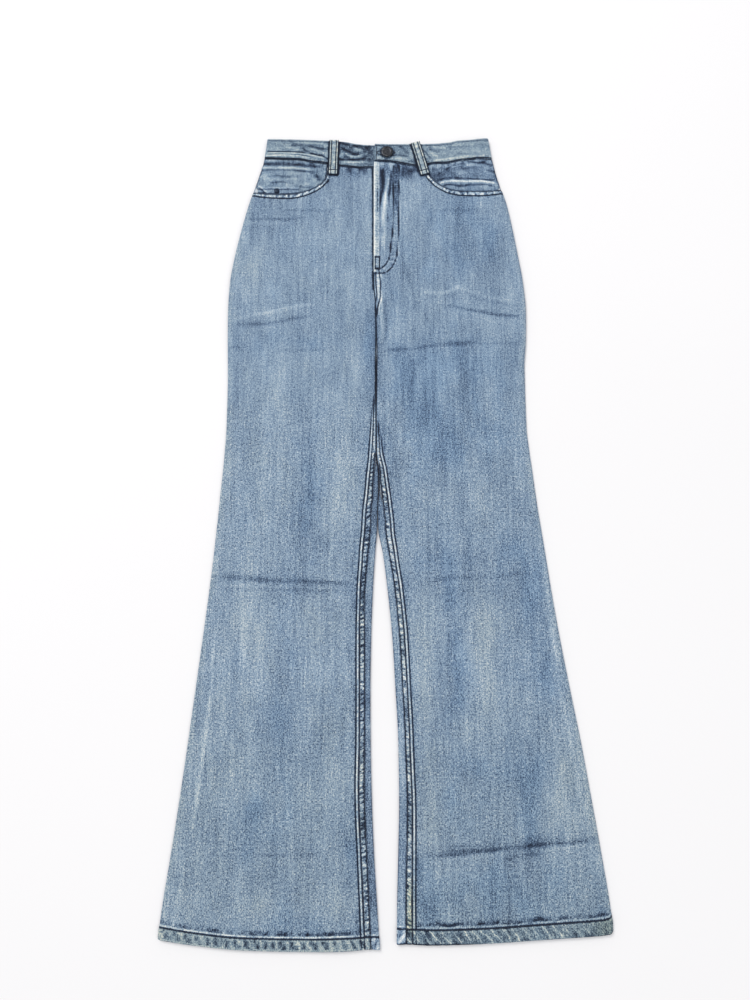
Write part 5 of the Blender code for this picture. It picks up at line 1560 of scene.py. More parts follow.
def belt_loop(name, x_top, y_top, x_bottom, y_bottom, width, at_back):
    v = np.concatenate([np.linspace(0, 0.16, 14, endpoint=False), np.linspace(0.16, 1, 36)])[:, None]
    s = np.linspace(-0.5, 0.5, 23)[None, :]
    p = loop_form(x_top, y_top, x_bottom, y_bottom, width, at_back, v, s)
    length = math.hypot(y_top - y_bottom, x_top - x_bottom)
    across = (s * width + 0 * v).ravel()
    along = (v * length + 0 * s).ravel()
    f = Field(p[..., 0], p[..., 1])
    edge = width / 2 - np.abs(across)
    f.rise += 0.22 * np.exp(-(((edge - 0.9) / 0.9) ** 2)) - 0.26 * np.exp(-(((edge - 2.6) / 0.7) ** 2)) + 0.25 * np.exp(-((across / 3.2) ** 2))
    # painted shade at the loop's edges and along its stitched rows; lighter along the folded edges and down the middle
    f.wash += 0.66 * bell(edge - 1.5, 0.6) - 1.25 * bell(edge - 3.0, 0.75) + 0.22 * bell(across, 2.6) - 1.3 * bell(edge, 0.7)
    f.wash += 0.22 * noise(along / 5.2, across / 5, 131) + 0.02
    f.stain += 0.34
    # the end is turned under and barred, with painted shade along the tack's top and at the loop's end
    tack = smooth(0.4, 1.2, along) * (1 - smooth(5.6, 6.6, along))
    f.rise += 0.45 * tack - 0.45 * np.exp(-(((along - 7.2) / 0.8) ** 2))
    f.wash += 0.16 * tack - 1.5 * bell(along - 7.2, 0.9) - 1.4 * bell(along, 0.9)
    f.wash += 0.45 * bell(along - length + 1.0, 1.2)
    bars = np.sin(2 * math.pi * along / 9.5 + 1.5)
    f.wash += 0.10 * bars * (along > 8)
    f.rope_on(np.arange(len(across)), 0.4 * np.ones(len(across)), along, across)
    cloth = np.dstack([(s * width + 0 * v), (v * length + 0 * s)])
    wall = (CLOTH if at_back else LOOP_WALL) / 2
    up = -1.0 if at_back else 1.0
    if at_back:
        f.rise *= 0.3
    return shell(name + "_cloth", p, wall, up, f, cloth=cloth, seed=13.0 + x_top / 50, tuck=0.9)


# ---------------------------------------------------------------- materials


class Graph:
    """A short way to write a material's nodes."""

    def __init__(self, name):
        self.material = bpy.data.materials.new(name)
        self.material.use_nodes = True
        self.tree = self.material.node_tree
        self.shader = self.tree.nodes["Principled BSDF"]
        MATERIALS[name] = self.material

    def node(self, kind, **settings):
        made = self.tree.nodes.new(kind)
        for key, value in settings.items():
            setattr(made, key, value)
        return made

    def link(self, source, target):
        self.tree.links.new(source, target)

    def value(self, made, name, given):
        if hasattr(given, "links"):
            self.link(given, made.inputs[name])
        elif given is not None:
            made.inputs[name].default_value = given

    def math(self, operation, a, b=None, c=None, clamp=False):
        made = self.node("ShaderNodeMath", operation=operation, use_clamp=clamp)
        for k, given in enumerate((a, b, c)):
            if given is not None:
                self.value(made, k, given)
        return made.outputs[0]

    def scaled(self, vector, scale):
        made = self.node("ShaderNodeVectorMath", operation="MULTIPLY")
        self.link(vector, made.inputs[0])
        made.inputs[1].default_value = scale
        return made.outputs[0]

    def noise(self, vector, scale=1.0, detail=2.0, roughness=0.5, distortion=0.0):
        made = self.node("ShaderNodeTexNoise", noise_dimensions="3D")
        self.link(vector, made.inputs["Vector"])
        for key, given in (("Scale", scale), ("Detail", detail), ("Roughness", roughness), ("Distortion", distortion)):
            made.inputs[key].default_value = given
        return made.outputs[0]

    def attribute(self, name, output="Fac"):
        return self.node("ShaderNodeAttribute", attribute_name=name).outputs[output]

    def ramp(self, value, stops, interpolation="LINEAR"):
        made = self.node("ShaderNodeValToRGB")
        made.color_ramp.interpolation = interpolation
        points = made.color_ramp.elements
        while len(points) < len(stops):
            points.new(0.5)
        for point, (at, colour) in zip(points, stops):
            point.position = at
            point.color = (*colour, 1.0)
        self.link(value, made.inputs[0])
        return made.outputs[0]

    def mix(self, factor, a, b, blend="MIX"):
        made = self.node("ShaderNodeMix", data_type="RGBA", blend_type=blend)
        self.value(made, 0, factor)
        for k, given in ((6, a), (7, b)):
            if isinstance(given, tuple):
                made.inputs[k].default_value = (*given, 1.0)
            else:
                self.link(given, made.inputs[k])
        return made.outputs[2]

    def bump(self, height, strength, distance, before=None):
        made = self.node("ShaderNodeBump")
        made.inputs["Strength"].default_value = strength
        made.inputs["Distance"].default_value = distance
        self.link(height, made.inputs["Height"])
        if before is not None:
            self.link(before, made.inputs["Normal"])
        return made.outputs[0]


def grain_terms(g, cloth):
    """Yarn-scale patterns shared by both sides of the cloth, each centred on 0."""
    fine = g.noise(g.scaled(cloth, (1000 / 1.25, 1000 / 1.9, 3.0)), 1.0, 2.0, 0.55)
    slub = g.noise(g.scaled(cloth, (1000 / 1.9, 1000 / 30.0, 5.0)), 1.0, 3.0, 0.6)
    streak = g.noise(g.scaled(cloth, (1000 / 5.5, 1000 / 130.0, 7.0)), 1.0, 3.0, 0.55)
    cloud = g.noise(g.scaled(cloth, (1000 / 34.0, 1000 / 210.0, 9.0)), 1.0, 3.0, 0.6)
    fleck = g.noise(g.scaled(cloth, (1000 / 2.6, 1000 / 4.2, 11.0)), 1.0, 3.0, 0.65)
    return fine, slub, streak, cloud, fleck


def denim():
    g = Graph("denim")
    cloth, seam = g.attribute("cloth", "Vector"), g.attribute("seam", "Vector")
    wash, rope = g.attribute("wash"), g.attribute("rope")
    fine, slub, streak, cloud, fleck = grain_terms(g, cloth)

    # twill: fine diagonal ribs
    parts = g.node("ShaderNodeSeparateXYZ")
    g.link(cloth, parts.inputs[0])
    slant = g.math("ADD", g.math("MULTIPLY", parts.outputs[0], 2 * math.pi / 0.00105), g.math("MULTIPLY", parts.outputs[1], -2 * math.pi / 0.00160))
    twill = g.math("SINE", g.math("ADD", slant, g.math("MULTIPLY", fine, 3.0)))

    # the yarns' own speckle is coarser on the legs
    speck = g.math("ADD", g.math("MULTIPLY", g.math("SUBTRACT", fine, 0.5), 1.35), g.math("MULTIPLY", g.math("SUBTRACT", fleck, 0.5), 0.68))
    value = g.math("MULTIPLY_ADD", speck, g.attribute("coarse"), 0.482)
    patch = g.noise(g.scaled(cloth, (1000 / 16.0, 1000 / 26.0, 15.0)), 1.0, 2.0, 0.5)
    for term, amount in ((slub, 0.36), (streak, 0.26), (cloud, 0.13), (patch, 0.10)):
        value = g.math("ADD", value, g.math("MULTIPLY", g.math("SUBTRACT", term, 0.5), amount))
    value = g.math("MULTIPLY_ADD", twill, 0.035, value)
    # the pieces' tone: worn light and dark indigo, with the painted shade and highlights of folds, grooves and edges
    value = g.math("MULTIPLY_ADD", wash, 0.55, value)
    # beside seams the pucker's crests are rubbed light
    pleats = g.noise(g.scaled(seam, (1000 / 3.4, 1000 / 8.0, 3.0)), 1.0, 2.0, 0.6)
    value = g.math("ADD", value, g.math("MULTIPLY", rope, g.math("MULTIPLY", g.math("SUBTRACT", pleats, 0.5), 1.5)))
    # thin rubbed lines across the folded hem
    place = g.node("ShaderNodeSeparateXYZ")
    g.link(seam, place.inputs[0])
    sway = g.noise(g.scaled(seam, (1000 / 30.0, 1000 / 16.0, 4.0)), 1.0, 2.0, 0.5)
    wave = g.math("SINE", g.math("ADD", g.math("MULTIPLY", place.outputs[0], 2 * math.pi / 0.0127), g.math("MULTIPLY", sway, 9.0)))
    thin = g.math("POWER", g.math("MAXIMUM", wave, 0.0), 7.0)
    dents = g.math("MULTIPLY", g.math("MAXIMUM", g.math("MULTIPLY", wave, -1.0), 0.0), -0.14)
    value = g.math("ADD", value, g.math("MULTIPLY", g.attribute("lines"), g.math("MULTIPLY_ADD", thin, 0.46, dents)))

    colour = g.ramp(
        value,
        [
            (0.00, (0.008, 0.013, 0.028)),
            (0.20, (0.040, 0.064, 0.115)),
            (0.38, (0.128, 0.194, 0.290)),
            (0.50, (0.217, 0.306, 0.414)),
            (0.62, (0.322, 0.414, 0.508)),
            (0.78, (0.510, 0.585, 0.630)),
            (1.00, (0.820, 0.840, 0.840)),
        ],
    )
    # worn areas are warmer, full ones bluer
    worn = g.noise(g.scaled(cloth, (1000 / 30.0, 1000 / 62.0, 13.0)), 1.0, 3.0, 0.55)
    worn = g.math("MULTIPLY_ADD", g.math("SUBTRACT", worn, 0.5), 0.9, g.math("MULTIPLY_ADD", g.math("SUBTRACT", value, 0.5), 0.5, g.math("MULTIPLY", g.attribute("worn"), 1.0)))
    for low, high, tint in ((0.04, 0.34, (1.035, 1.0, 0.945)), (-0.04, -0.34, (0.915, 0.985, 1.045))):
        made = g.node("ShaderNodeMapRange")
        g.link(worn, made.inputs["Value"])
        made.inputs["From Min"].default_value, made.inputs["From Max"].default_value = low, high
        colour = g.mix(made.outputs[0], colour, tint, "MULTIPLY")
    colour = g.mix(g.attribute("stain"), colour, (1.0, 0.90, 0.62), "MULTIPLY")
    g.link(colour, g.shader.inputs["Base Color"])
    g.link(g.math("MULTIPLY_ADD", fleck, 0.16, 0.80), g.shader.inputs["Roughness"])
    g.shader.inputs["Specular IOR Level"].default_value = 0.18
    g.shader.inputs["Sheen Weight"].default_value = 0.10
    g.shader.inputs["Sheen Roughness"].default_value = 0.6
    g.shader.inputs["Sheen Tint"].default_value = (0.80, 0.88, 1.0, 1.0)
    weave = g.bump(g.math("MULTIPLY_ADD", twill, 0.5, g.math("MULTIPLY", fine, 1.2)), 0.55, 0.00022)
    soft = g.bump(g.math("ADD", fleck, slub), 0.45, 0.0005, weave)
    folds = g.bump(g.math("MULTIPLY", rope, pleats), 0.7, 0.0007, soft)
    g.link(folds, g.shader.inputs["Normal"])


def denim_inside():
    """The wrong side: mostly undyed weft, with blue flecks."""
    g = Graph("denim_inside")
    cloth = g.attribute("cloth", "Vector")
    fine, slub, streak, cloud, fleck = grain_terms(g, cloth)
    parts = g.node("ShaderNodeSeparateXYZ")
    g.link(cloth, parts.inputs[0])
    slant = g.math("ADD", g.math("MULTIPLY", parts.outputs[0], 2 * math.pi / 0.00105), g.math("MULTIPLY", parts.outputs[1], 2 * math.pi / 0.00160))
    twill = g.math("SINE", g.math("ADD", slant, g.math("MULTIPLY", fine, 3.0)))
    value = g.math("MULTIPLY_ADD", g.math("SUBTRACT", fine, 0.5), 1.1, 0.62)
    for term, amount in ((slub, 0.3), (cloud, 0.2), (fleck, 0.5)):
        value = g.math("ADD", value, g.math("MULTIPLY", g.math("SUBTRACT", term, 0.5), amount))
    value = g.math("MULTIPLY_ADD", twill, 0.08, value)
    colour = g.ramp(value, [(0.0, (0.16, 0.22, 0.33)), (0.35, (0.36, 0.44, 0.55)), (0.6, (0.60, 0.66, 0.72)), (1.0, (0.84, 0.86, 0.86))])
    g.link(colour, g.shader.inputs["Base Color"])
    g.shader.inputs["Roughness"].default_value = 0.92
    g.shader.inputs["Specular IOR Level"].default_value = 0.15
    g.link(g.bump(g.math("ADD", twill, fine), 0.5, 0.0002), g.shader.inputs["Normal"])


def thread():
    g = Graph("thread")
    place = g.node("ShaderNodeTexCoord").outputs["Object"]
    vary = g.noise(g.scaled(place, (260.0, 260.0, 260.0)), 1.0, 3.0, 0.6)
    ply = g.noise(g.scaled(place, (2600.0, 2600.0, 2600.0)), 1.0, 1.0, 0.5)
    colour = g.ramp(vary, [(0.25, (0.004, 0.006, 0.014)), (0.55, (0.012, 0.018, 0.036)), (0.8, (0.035, 0.048, 0.080))])
    g.link(colour, g.shader.inputs["Base Color"])
    g.shader.inputs["Roughness"].default_value = 0.62
    g.shader.inputs["Specular IOR Level"].default_value = 0.25
    g.shader.inputs["Sheen Weight"].default_value = 0.1
    g.link(g.bump(ply, 0.5, 0.0002), g.shader.inputs["Normal"])


def metal(name="metal", tones=((0.016, 0.018, 0.022), (0.045, 0.048, 0.056), (0.150, 0.150, 0.152))):
    """Dark aged metal, lighter where it is rubbed."""
    g = Graph(name)
    place = g.node("ShaderNodeTexCoord").outputs["Object"]
    spots = g.noise(g.scaled(place, (420.0, 420.0, 420.0)), 1.0, 5.0, 0.65)
    wear = g.noise(g.scaled(place, (130.0, 130.0, 300.0)), 1.0, 3.0, 0.55)
    value = g.math("ADD", g.math("MULTIPLY", spots, 0.6), g.math("MULTIPLY", wear, 0.4))
    colour = g.ramp(value, list(zip((0.30, 0.5, 0.72), tones)))
    g.link(colour, g.shader.inputs["Base Color"])
    g.shader.inputs["Metallic"].default_value = 1.0
    g.link(g.math("MULTIPLY_ADD", spots, 0.35, 0.22), g.shader.inputs["Roughness"])
    g.link(g.bump(spots, 0.25, 0.0002), g.shader.inputs["Normal"])


def tape():
    g = Graph("zip_tape")
    place = g.node("ShaderNodeTexCoord").outputs["Object"]
    rib = g.node("ShaderNodeTexWave", wave_type="BANDS", bands_direction="Y")
    g.link(g.scaled(place, (1.0, 700.0, 1.0)), rib.inputs["Vector"])
    rib.inputs["Scale"].default_value = 1.0
    colour = g.ramp(rib.outputs[0], [(0.0, (0.016, 0.022, 0.045)), (1.0, (0.040, 0.055, 0.095))])
    g.link(colour, g.shader.inputs["Base Color"])
    g.shader.inputs["Roughness"].default_value = 0.85
    g.link(g.bump(rib.outputs[0], 0.5, 0.0002), g.shader.inputs["Normal"])


def floor_material():
    g = Graph("floor")
    place = g.node("ShaderNodeTexCoord").outputs["Object"]
    soft = g.noise(g.scaled(place, (1.1, 1.1, 1.1)), 1.0, 2.0, 0.5)
    colour = g.ramp(soft, [(0.3, (0.858, 0.846, 0.848)), (0.7, (0.872, 0.860, 0.862))])
    g.link(colour, g.shader.inputs["Base Color"])
    g.shader.inputs["Roughness"].default_value = 0.95
    g.shader.inputs["Specular IOR Level"].default_value = 0.05


def rivet_metal():
    """The same metal, blackened."""
    metal("rivet_metal", ((0.004, 0.007, 0.014), (0.014, 0.021, 0.036), (0.075, 0.092, 0.120)))


for make in (denim, denim_inside, thread, metal, rivet_metal, tape, floor_material):
    make()


# ---------------------------------------------------------------- the garment

REPLACES = []


def stands_for(obj, node):
    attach(obj, "root")
    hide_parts(node)
    REPLACES.append((obj, node))
    return obj


for side in SIDES:
    stands_for(front_leg(side), f"front_{side}_leg")
    stands_for(back_leg(side), f"back_{side}_leg")
    stands_for(yoke(side), f"yoke_{side}")
    stands_for(facing(side), f"pocket_facing_{side}")
    stands_for(back_pocket(side), f"back_pocket_{side}")
stands_for(coin_pocket(), "coin_pocket")
stands_for(waistband(), "waistband")
for row in LOOPS:
    stands_for(belt_loop(*row), row[0])


# ---------------------------------------------------------------- topstitching


def flat_row(points, side, step=1.2, lift=0.0):
    p = bent(points, step)
    return front_top(side, p[:, 0], p[:, 1], lift)


def sew_fronts():
    t = Threads()
    for k, side in enumerate(SIDES):
        out = outward(side)
        y = np.arange(-549.0, ROW_TOP[side], 1.5)
        for n, offset in enumerate((ROW_IN + 0 * y, lap_rows(side, y)[0])):
            x = seam_x(side, y) + out * offset
            rows = slice(None) if n else y < FIRST_ROW_TOP[side]
            t.row(front_top(side, x[rows], y[rows]), radius=0.60, seed=7 * k + n)
            # on over the hem
            low = np.arange(float(HEM[side](1.0)) + 1.5, -549.0, 1.0)
            t.row(front_top(side, seam_x(side, low) + out * offset[0], low), seed=3 * k + n)
        share = np.linspace(0.006, 0.995, 260)
        y = HEM[side](share) + HEM_ROW[side]
        x = outer_x(side, y) + (seam_x(side, y) - outer_x(side, y)) * share
        t.row(front_top(side, x, y), length=3.4, radius=0.56, seed=20 + k)
        # across the back panel's strip at the hem
        d = np.linspace(0.4, 1.0, 12)
        yy = float(HEM[side](1.0)) + HEM_ROW[side]
        x0, x1 = float(seam_x(side, yy)), float(inner_x(side, yy))
        z = LEVEL["front"](yy) + 0.95 + CLOTH / 2 + 0.4
        t.row(np.stack([x0 + (x1 - x0) * d, np.full(12, yy), np.full(12, float(z))], axis=-1), radius=0.5, seed=24 + k)
        scoop, _ = scoop_and_waist(side)
        normal = np.gradient(scoop, axis=0)
        normal /= np.linalg.norm(normal, axis=1, keepdims=True)
        inside = np.stack([normal[:, 1], -normal[:, 0]], axis=-1) * (1 if side == "right" else -1)
        run = np.concatenate([[0.0], np.cumsum(np.hypot(*np.diff(scoop, axis=0).T))])
        for n, d in enumerate((SCOOP_IN + 0 * run, Curve(SCOOP_OUT[side])(run / run[-1]))):
            p = scoop + inside * d[:, None]
            keep = (out * (outer_x(side, p[:, 1]) - p[:, 0]) > 0.8) & (p[:, 1] < SEAM_LINE[side](p[:, 0]) - 1.0)
            p = p[keep]
            t.row(front_top(side, p[:, 0], p[:, 1]), length=2.6, gap=0.45, radius=0.54 if n else 0.44, seed=30 + k)
    for points in (J_INNER, J_OUTER):
        t.row(flat_row(points, "left"), length=2.8, gap=0.4, radius=0.5, seed=41)
    for points in (RISE_IN, RISE_OUT):
        t.row(flat_row(points, "left"), length=2.6, gap=0.3, radius=0.5, seed=43)
    # dotted row on the fly's edge
    t.row(flat_row([(-11.7, 512), (-11.6, 484)], "left"), length=1.5, gap=2.2, radius=0.34, seed=45)
    t.row(flat_row([(-11.6, 484), (-11.6, 450)], "left"), length=2.3, gap=1.7, radius=0.50, seed=45)
    t.row(flat_row([(-11.6, 450), (-11.9, 378)], "left"), length=1.0, gap=3.2, radius=0.36, seed=46)
    return t.put("topstitching_fronts")


def bar_tack(t, a, b, width, side, lift=0.1, pitch=0.62):
    """Close zigzag over a short line."""
    a, b = np.array(a, float), np.array(b, float)
    along = (b - a) / np.linalg.norm(b - a)
    across = np.array([-along[1], along[0]]) * width / 2
    n = int(np.linalg.norm(b - a) / pitch)
    for k in range(n):
        c = a + (b - a) * (k + 0.5) / n
        p = np.stack([c - across, c, c + across])
        t.row(front_top(side, p[:, 0], p[:, 1], lift), length=50, gap=0.05, radius=0.36, sides=5)


def sew_fly():
    t = Threads()
    box = [(-14.6, 374.4), (-8.4, 374.4), (-8.4, 356.2), (-14.6, 356.2)]
    bar_tack(t, box[0], box[1], 1.7, "left")
    bar_tack(t, box[1], box[2], 1.4, "left")
    bar_tack(t, box[0], box[3], 1.2, "left")
    bar_tack(t, (-14.8, 355.9), (-7.0, 355.9), 1.6, "left")
    return t.put("bar_tacks_fly")


def on_loop(row, v, s):
    p = loop_form(*row[1:], v, s)
    wall = (CLOTH if row[6] else LOOP_WALL) / 2
    p[..., 2] += wall * (-1 if row[6] else 1)
    return p


def sew_loops():
    t = Threads()
    for k, row in enumerate(LOOPS):
        up = -1.0 if row[6] else 1.0
        width, length = row[5], math.hypot(row[2] - row[4], row[1] - row[3])
        for s in (-0.5 + 2.6 / width, 0.5 - 2.6 / width):
            p = on_loop(row, np.linspace(7.4 / length, 0.985, 40), np.full(40, s))
            if row[6]:
                p[:, 2] = np.maximum(p[:, 2], 0.36)
            t.row(p, length=2.7, gap=0.35, radius=0.36 if row[6] else 0.48, up=up, seed=50 + k)
        for low, high in ((0.2, 1.2), (6.2, 7.6)):
            for q in np.arange(-width / 2 + 0.6, width / 2 - 0.3, 0.62):
                v = np.array([low, (low + high) / 2, high]) / length
                p = on_loop(row, v, np.full(3, q / width))
                if row[6]:
                    p[:, 2] = np.maximum(p[:, 2], 0.36)
                t.row(p, length=50, gap=0.05, radius=0.34, up=up, sides=5)
    return t.put("topstitching_loops")


def sew_band():
    t = Threads()
    mesh = MADE["waistband_cloth"].data
    co = np.empty(len(mesh.vertices) * 3)
    mesh.vertices.foreach_get("co", co)
    co = co.reshape(-1, 3) / MM
    co[:, 0] -= CENTRE[0]
    co[:, 1] -= CENTRE[1]
    cols = 31
    rows = BAND_ROWS
    face = co[: rows * cols].reshape(rows, cols, 3)
    for level, radius, seed in ((1.6, 0.5, 61), (-2.4, 0.0, 62)):
        if radius == 0.0:
            continue
        path = []
        for r in range(rows):
            up = np.cumsum(np.concatenate([[0], np.hypot(*np.diff(face[r, :, :2], axis=0).T)]))
            path.append([np.interp(level, up, face[r, :, k]) for k in range(3)])
        path = np.array(path)
        normal_up = np.where(np.arange(rows) < rows, 1, 1)
        z_mid = (BAND_LEVEL["front"] + BAND_LEVEL["back"]) / 2
        top = path[:, 2] > z_mid + 1.2
        below = path[:, 2] < z_mid - 1.2
        for mask, up_sign in ((top, 1.0), (below, -1.0)):
            runs = np.split(np.nonzero(mask)[0], np.nonzero(np.diff(np.nonzero(mask)[0]) > 1)[0] + 1)
            for run in runs:
                if len(run) > 3:
                    p = path[run].copy()
                    if up_sign > 0:
                        p = p[(p[:, 0] < -14.6) | (p[:, 2] > 6.9) | (p[:, 0] > 20)]
                        pieces = np.split(p, np.nonzero(np.abs(np.diff(p[:, 0])) > 8)[0] + 1)
                    else:
                        pieces = [p]
                    for piece in pieces:
                        if len(piece) > 3:
                            t.row(piece, length=3.0, gap=0.45, radius=radius, up=up_sign, seed=seed)
    # the lapped end, and the buttonhole beside the button
    x = BAND_OVER + 2.2
    y = np.linspace(529.5, 553.5, 20)
    z = float(band_level(x)) + BAND_WALL / 2 * 0.92
    t.row(np.stack([np.full(20, x), y, np.full(20, z)], axis=-1), length=2.8, gap=0.4, radius=0.48, seed=64)
    for angle in np.linspace(0, 2 * math.pi, 54, endpoint=False):
        c = np.array([BUTTON["x"] - 1.5, BUTTON["y"]])
        reach = np.array([12.6, 3.0])
        d = np.array([math.cos(angle), math.sin(angle)])
        a, b = c + reach * d, c + (reach + 1.9) * d
        p = np.stack([a, (a + b) / 2, b])
        t.row(np.column_stack([p, np.full(3, z - 0.25)]), length=50, gap=0.05, radius=0.36, sides=5)
    return t.put("topstitching_waistband")


def sew_backs():
    t = Threads()

    def under(points, level, radius=0.36, length=3.0, seed=0, step=1.5):
        p = bent(points, step)
        z = np.full(len(p), level)
        t.row(np.column_stack([p, z]), length=length, gap=0.5, radius=radius, up=-1.0, seed=seed, sink=0.0)

    for k, side in enumerate(SIDES):
        out = outward(side)
        # hem
        share = np.linspace(0.01, 0.97, 200)
        y = HEM[side](share) + HEM_ROW[side]
        x = outer_x(side, y) + (seam_x(side, y) - outer_x(side, y)) * share
        t.row(np.column_stack([x, y, np.full(200, 0.30)]), length=3.4, gap=0.5, radius=0.32, up=-1.0, seed=70 + k, sink=0.0)
        # yoke
        for d in (1.6, 7.6):
            s = np.linspace(0.02, 0.99, 60)
            yy = YOKE_SEAM["side"] + (YOKE_SEAM["centre"] - YOKE_SEAM["side"]) * s + d
            edge = outer_x(side, yy)
            xx = edge + (BACK_CENTRE - edge) * s
            t.row(np.column_stack([xx, yy, np.full(60, 1.52)]), length=3.0, gap=0.5, radius=0.44, up=-1.0, seed=74 + k)
        # patch pocket
        at = back_pocket_outline(side)
        outline = [at(0, 1), at(0, 0), at(0.5, 0), at(1, 0), at(1, 1)]
        centre = np.mean(np.array(outline), axis=0)
        for d in (1.8, 7.8):
            lines = []
            for start, end in zip(outline, outline[1:]):
                a, b = np.array(start), np.array(end)
                along = (b - a) / np.linalg.norm(b - a)
                normal = np.array([-along[1], along[0]])
                if np.dot(centre - a, normal) < 0:
                    normal = -normal
                lines.append((a + normal * d, along))
            corners = [lines[0][0] + np.array([0.0, 0.0])]
            for (p, u), (q, w) in zip(lines, lines[1:]):
                m = np.array([[u[0], -w[0]], [u[1], -w[1]]])
                r = np.linalg.solve(m, q - p)
                corners.append(p + u * r[0])
            last_a, last_u = lines[-1]
            span = (BACK_POCKET["y_top"] - last_a[1]) / last_u[1]
            corners.append(last_a + last_u * span)
            top_a, top_u = lines[0]
            corners[0] = top_a + top_u * ((BACK_POCKET["y_top"] - 1 - top_a[1]) / top_u[1])
            for a, b in zip(corners, corners[1:]):
                under([tuple(a), tuple(b)], 0.36, 0.34, seed=78 + k)
        for d in (2.2, 14.0):
            a, b = np.array(at(0, 1)), np.array(at(1, 1))
            under([(a[0], a[1] - d), (b[0], b[1] - d)], 0.36, 0.34, seed=80 + k)
    for d in (1.6, 8.0):
        under([(BACK_CENTRE + d, 522), (BACK_CENTRE + d, 452), (BACK_CENTRE + d, 345)], 1.52, 0.44, seed=84)
        y = np.linspace(345, 285, 30)
        x = back_inner_x("left", y) + d
        t.row(np.column_stack([x, y, np.full(30, 1.52)]), length=3.0, gap=0.5, radius=0.44, up=-1.0, seed=85)
    return t.put("topstitching_back")


BAND_ROWS = (len(MADE["waistband_cloth"].data.vertices)) and 0


def band_rows():
    """How many rows the band's grid has, from its vertex count: two faces of rows x 31, and 3 rims round them."""
    total, cols, rim = len(MADE["waistband_cloth"].data.vertices), 31, 3
    rows = (total - rim * (2 * cols - 4)) // (2 * cols + 2 * rim)
    return rows


BAND_ROWS = band_rows()

for made in (sew_fronts(), sew_fly(), sew_loops(), sew_band(), sew_backs()):
    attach(made, "root")


# ---------------------------------------------------------------- metal and zip


def turned(name, profile, centre, steps, material):
    """A solid of revolution. The profile runs from the top's centre out and down to the bottom's centre."""
    angles = 2 * math.pi * np.arange(steps) / steps
    verts, faces, rings = [], [], []
    for r, z in profile:
        if r == 0:
            rings.append([len(verts)] * steps)
            verts.append((centre[0], centre[1], centre[2] + z))
        else:
            rings.append(list(range(len(verts), len(verts) + steps)))
            verts += [(centre[0] + r * math.cos(q), centre[1] + r * math.sin(q), centre[2] + z) for q in angles]
    for upper, lower in zip(rings, rings[1:]):
        for k in range(steps):
            n = (k + 1) % steps
            face = [upper[k], lower[k], lower[n], upper[n]]
            face = [v for i, v in enumerate(face) if v not in face[:i]]
            if len(face) > 2:
                faces.append(face)
    return put(name, verts, faces, [material])


r, h, n = BUTTON["head_radius"], BUTTON["head_height"], BUTTON["neck_radius"]
base = BAND_LEVEL["over"] + BAND_WALL / 2 + SEAM
button = turned(
    "waist_button_metal",
    [
        (0, 0.25 + h), (r * 0.25, 0.26 + h), (r * 0.50, 0.30 + h), (r * 0.58, 0.36 + h), (r * 0.63, 0.50 + h), (r * 0.70, 0.58 + h),
        (r * 0.80, 0.58 + h), (r * 0.88, 0.50 + h), (r * 0.95, 0.30 + h), (r * 0.985, h), (r, h - 0.5), (r * 0.99, 1.2), (r * 0.95, 0.85),
        (r * 0.86, 0.66), (n * 1.3, 0.60), (n * 1.05, 0.45), (n, 0.0), (n, -0.35), (0, -0.35),
    ],
    (BUTTON["x"], BUTTON["y"], base),
    64,
    "metal",
)
stands_for(button, "waist_button")

r, h = RIVET["radius"], RIVET["height"]
x, y = np.array([RIVET["x"]]), np.array([RIVET["y"]])
base = float(facing_height("right", x, y)[0]) + LAYER + 0.15 + CLOTH / 2 - 0.1
rivet = turned(
    "coin_rivet_metal",
    [(0, h * 0.62), (r * 0.22, h * 0.62), (r * 0.34, h * 0.80), (r * 0.5, h), (r * 0.66, h * 0.98), (r * 0.84, h * 0.75), (r * 0.97, h * 0.4), (r, 0.1), (r * 0.98, -0.1), (0, -0.1)],
    (RIVET["x"], RIVET["y"], base),
    40,
    "rivet_metal",
)
stands_for(rivet, "coin_rivet")


def zip_teeth():
    """Two rows of interlocked teeth along the chain, behind the fly."""
    z = float(LEVEL["back"](450.0)) + LAYER + CLOTH / 2 + SEAM + 0.4 + 0.25 + 0.4
    verts, faces = [], []
    low, high = FLY["y_bottom"] + 5, FLY["y_top"] - 20
    count = int((high - low) / 1.3)
    for k in range(count):
        y = low + (high - low) * k / count
        side = 1 if k % 2 else -1
        x0, x1 = -4.0 + side * 2.3, -4.0 - side * 0.5
        a, b = min(x0, x1), max(x0, x1)
        start = len(verts)
        for zz in (z - 0.05, z + 0.2):
            inset = 0.0 if zz < z else 0.12
            verts += [(a + inset, y - 0.45, zz), (b - inset, y - 0.45, zz), (b - inset, y + 0.45, zz), (a + inset, y + 0.45, zz)]
        for f in ((3, 2, 1, 0), (4, 5, 6, 7), (0, 1, 5, 4), (1, 2, 6, 5), (2, 3, 7, 6), (3, 0, 4, 7)):
            faces.append([start + q for q in f])
    return put("zip_teeth", verts, faces, ["metal"], smooth_shade=False)


teeth = zip_teeth()
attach(teeth, "root")

for node, material, slot in (("zip", "zip_tape", "zip_tape"), ("zip_slider", "metal", "metal"), ("fly_shield", "denim_inside", "denim_inside")):
    mesh = nodes[node].data
    mesh.materials.clear()
    mesh.materials.append(MATERIALS[material])


# ---------------------------------------------------------------- cut sizes

# Each piece's cut is worked out from what shows: its own box laid out flat, with the strip
# turned up round the inside leg added for the back legs, but it isn't kept, and the stored
# middle area and turned width are removed. Seam allowances and the cloth folded up in a hem are not in it.


def plain_cut(obj):
    """Width and length of a piece's box."""
    box = np.array([v[:] for v in obj.bound_box])
    return box[:, 0].max() - box[:, 0].min(), box[:, 1].max() - box[:, 1].min()


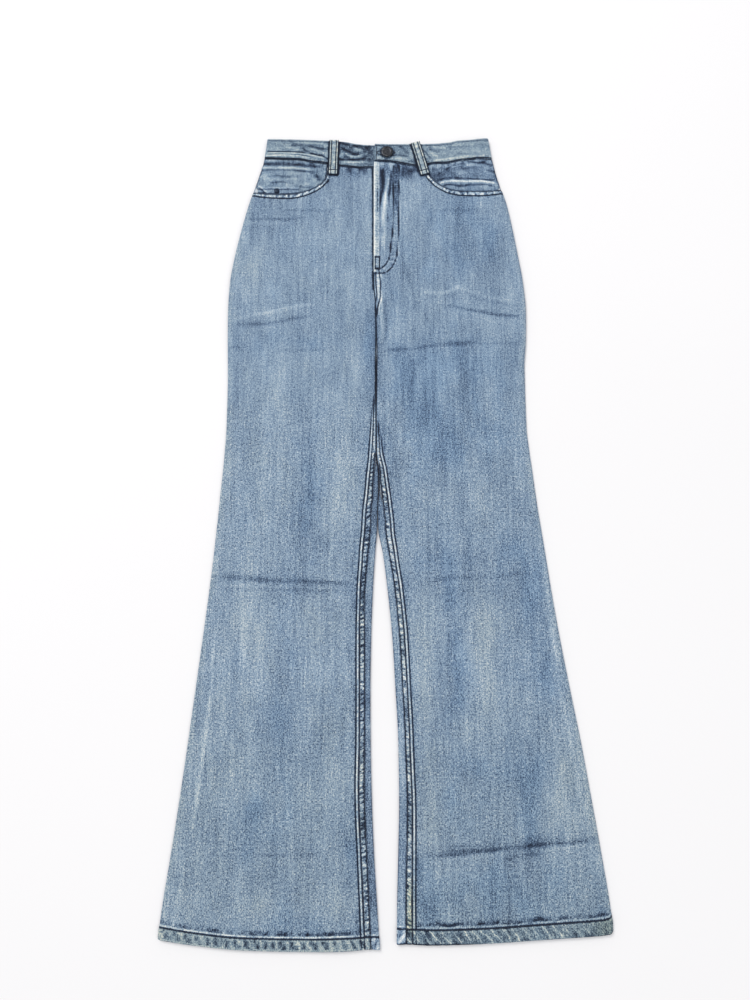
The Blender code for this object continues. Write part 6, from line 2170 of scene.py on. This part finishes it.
for obj, node in REPLACES:
    if "mid_area" not in obj:
        continue
    if obj.name == "waistband_cloth":
        width, length = 0.710, 0.036
    else:
        width, length = plain_cut(obj)
        if node in ("back_right_leg", "back_left_leg"):
            # the strip turned up round the inside leg is laid out flat too
            width += obj["turned"]
    del obj["mid_area"], obj["turned"]


# ---------------------------------------------------------------- floor, light, camera

floor_verts = [(-6, -6, 0), (6, -6, 0), (6, 6, 0), (-6, 6, 0)]
mesh = bpy.data.meshes.new("floor")
mesh.from_pydata([(x, y, -0.0002) for x, y, _ in floor_verts], [], [(0, 1, 2, 3)])
mesh.materials.append(MATERIALS["floor"])
ground = bpy.data.objects.new("floor", mesh)
bpy.context.scene.collection.objects.link(ground)


def area_light(name, place, at, size, power, colour=(1, 1, 1)):
    data = bpy.data.lights.new(name, "AREA")
    data.shape = "RECTANGLE"
    data.size, data.size_y = size
    data.energy = power
    data.color = colour
    lamp = bpy.data.objects.new(name, data)
    bpy.context.scene.collection.objects.link(lamp)
    lamp.location = place
    lamp.rotation_mode = "QUATERNION"
    lamp.rotation_quaternion = (Vector(at) - Vector(place)).to_track_quat("-Z", "Y")
    return lamp


area_light("key", (-2.2, 2.6, 4.2), (0, 0, 0), (2.4, 2.4), 150.0, (1.0, 0.99, 0.975))
area_light("fill", (3.2, -2.0, 4.5), (0, 0, 0), (3.4, 3.4), 55.0, (0.96, 0.98, 1.0))

world = bpy.data.worlds.new("world")
bpy.context.scene.world = world
world.use_nodes = True
back = world.node_tree.nodes["Background"]
back.inputs["Color"].default_value = (0.97, 0.98, 1.0, 1.0)
back.inputs["Strength"].default_value = 0.68
bpy.context.scene.view_settings.view_transform = "Standard"

# The camera looks down at 80 degrees, from 1.135 m, at a point near the garment's middle.
ELEVATION, DISTANCE = math.radians(80.3), 1.135
target = Vector((-0.01483 + CENTRE[0] * MM, 0.01576 + CENTRE[1] * MM, 0.0))
camera = bpy.data.cameras.new("camera")
camera.sensor_width = 36.0
camera.lens = 36.0 * 0.814
camera.clip_start, camera.clip_end = 0.01, 50.0
eye = bpy.data.objects.new("camera", camera)
bpy.context.scene.collection.objects.link(eye)
eye.location = target + DISTANCE * Vector((0, -math.cos(ELEVATION), math.sin(ELEVATION)))
eye.rotation_mode = "QUATERNION"
eye.rotation_quaternion = (target - eye.location).to_track_quat("-Z", "Y")
bpy.context.scene.camera = eye
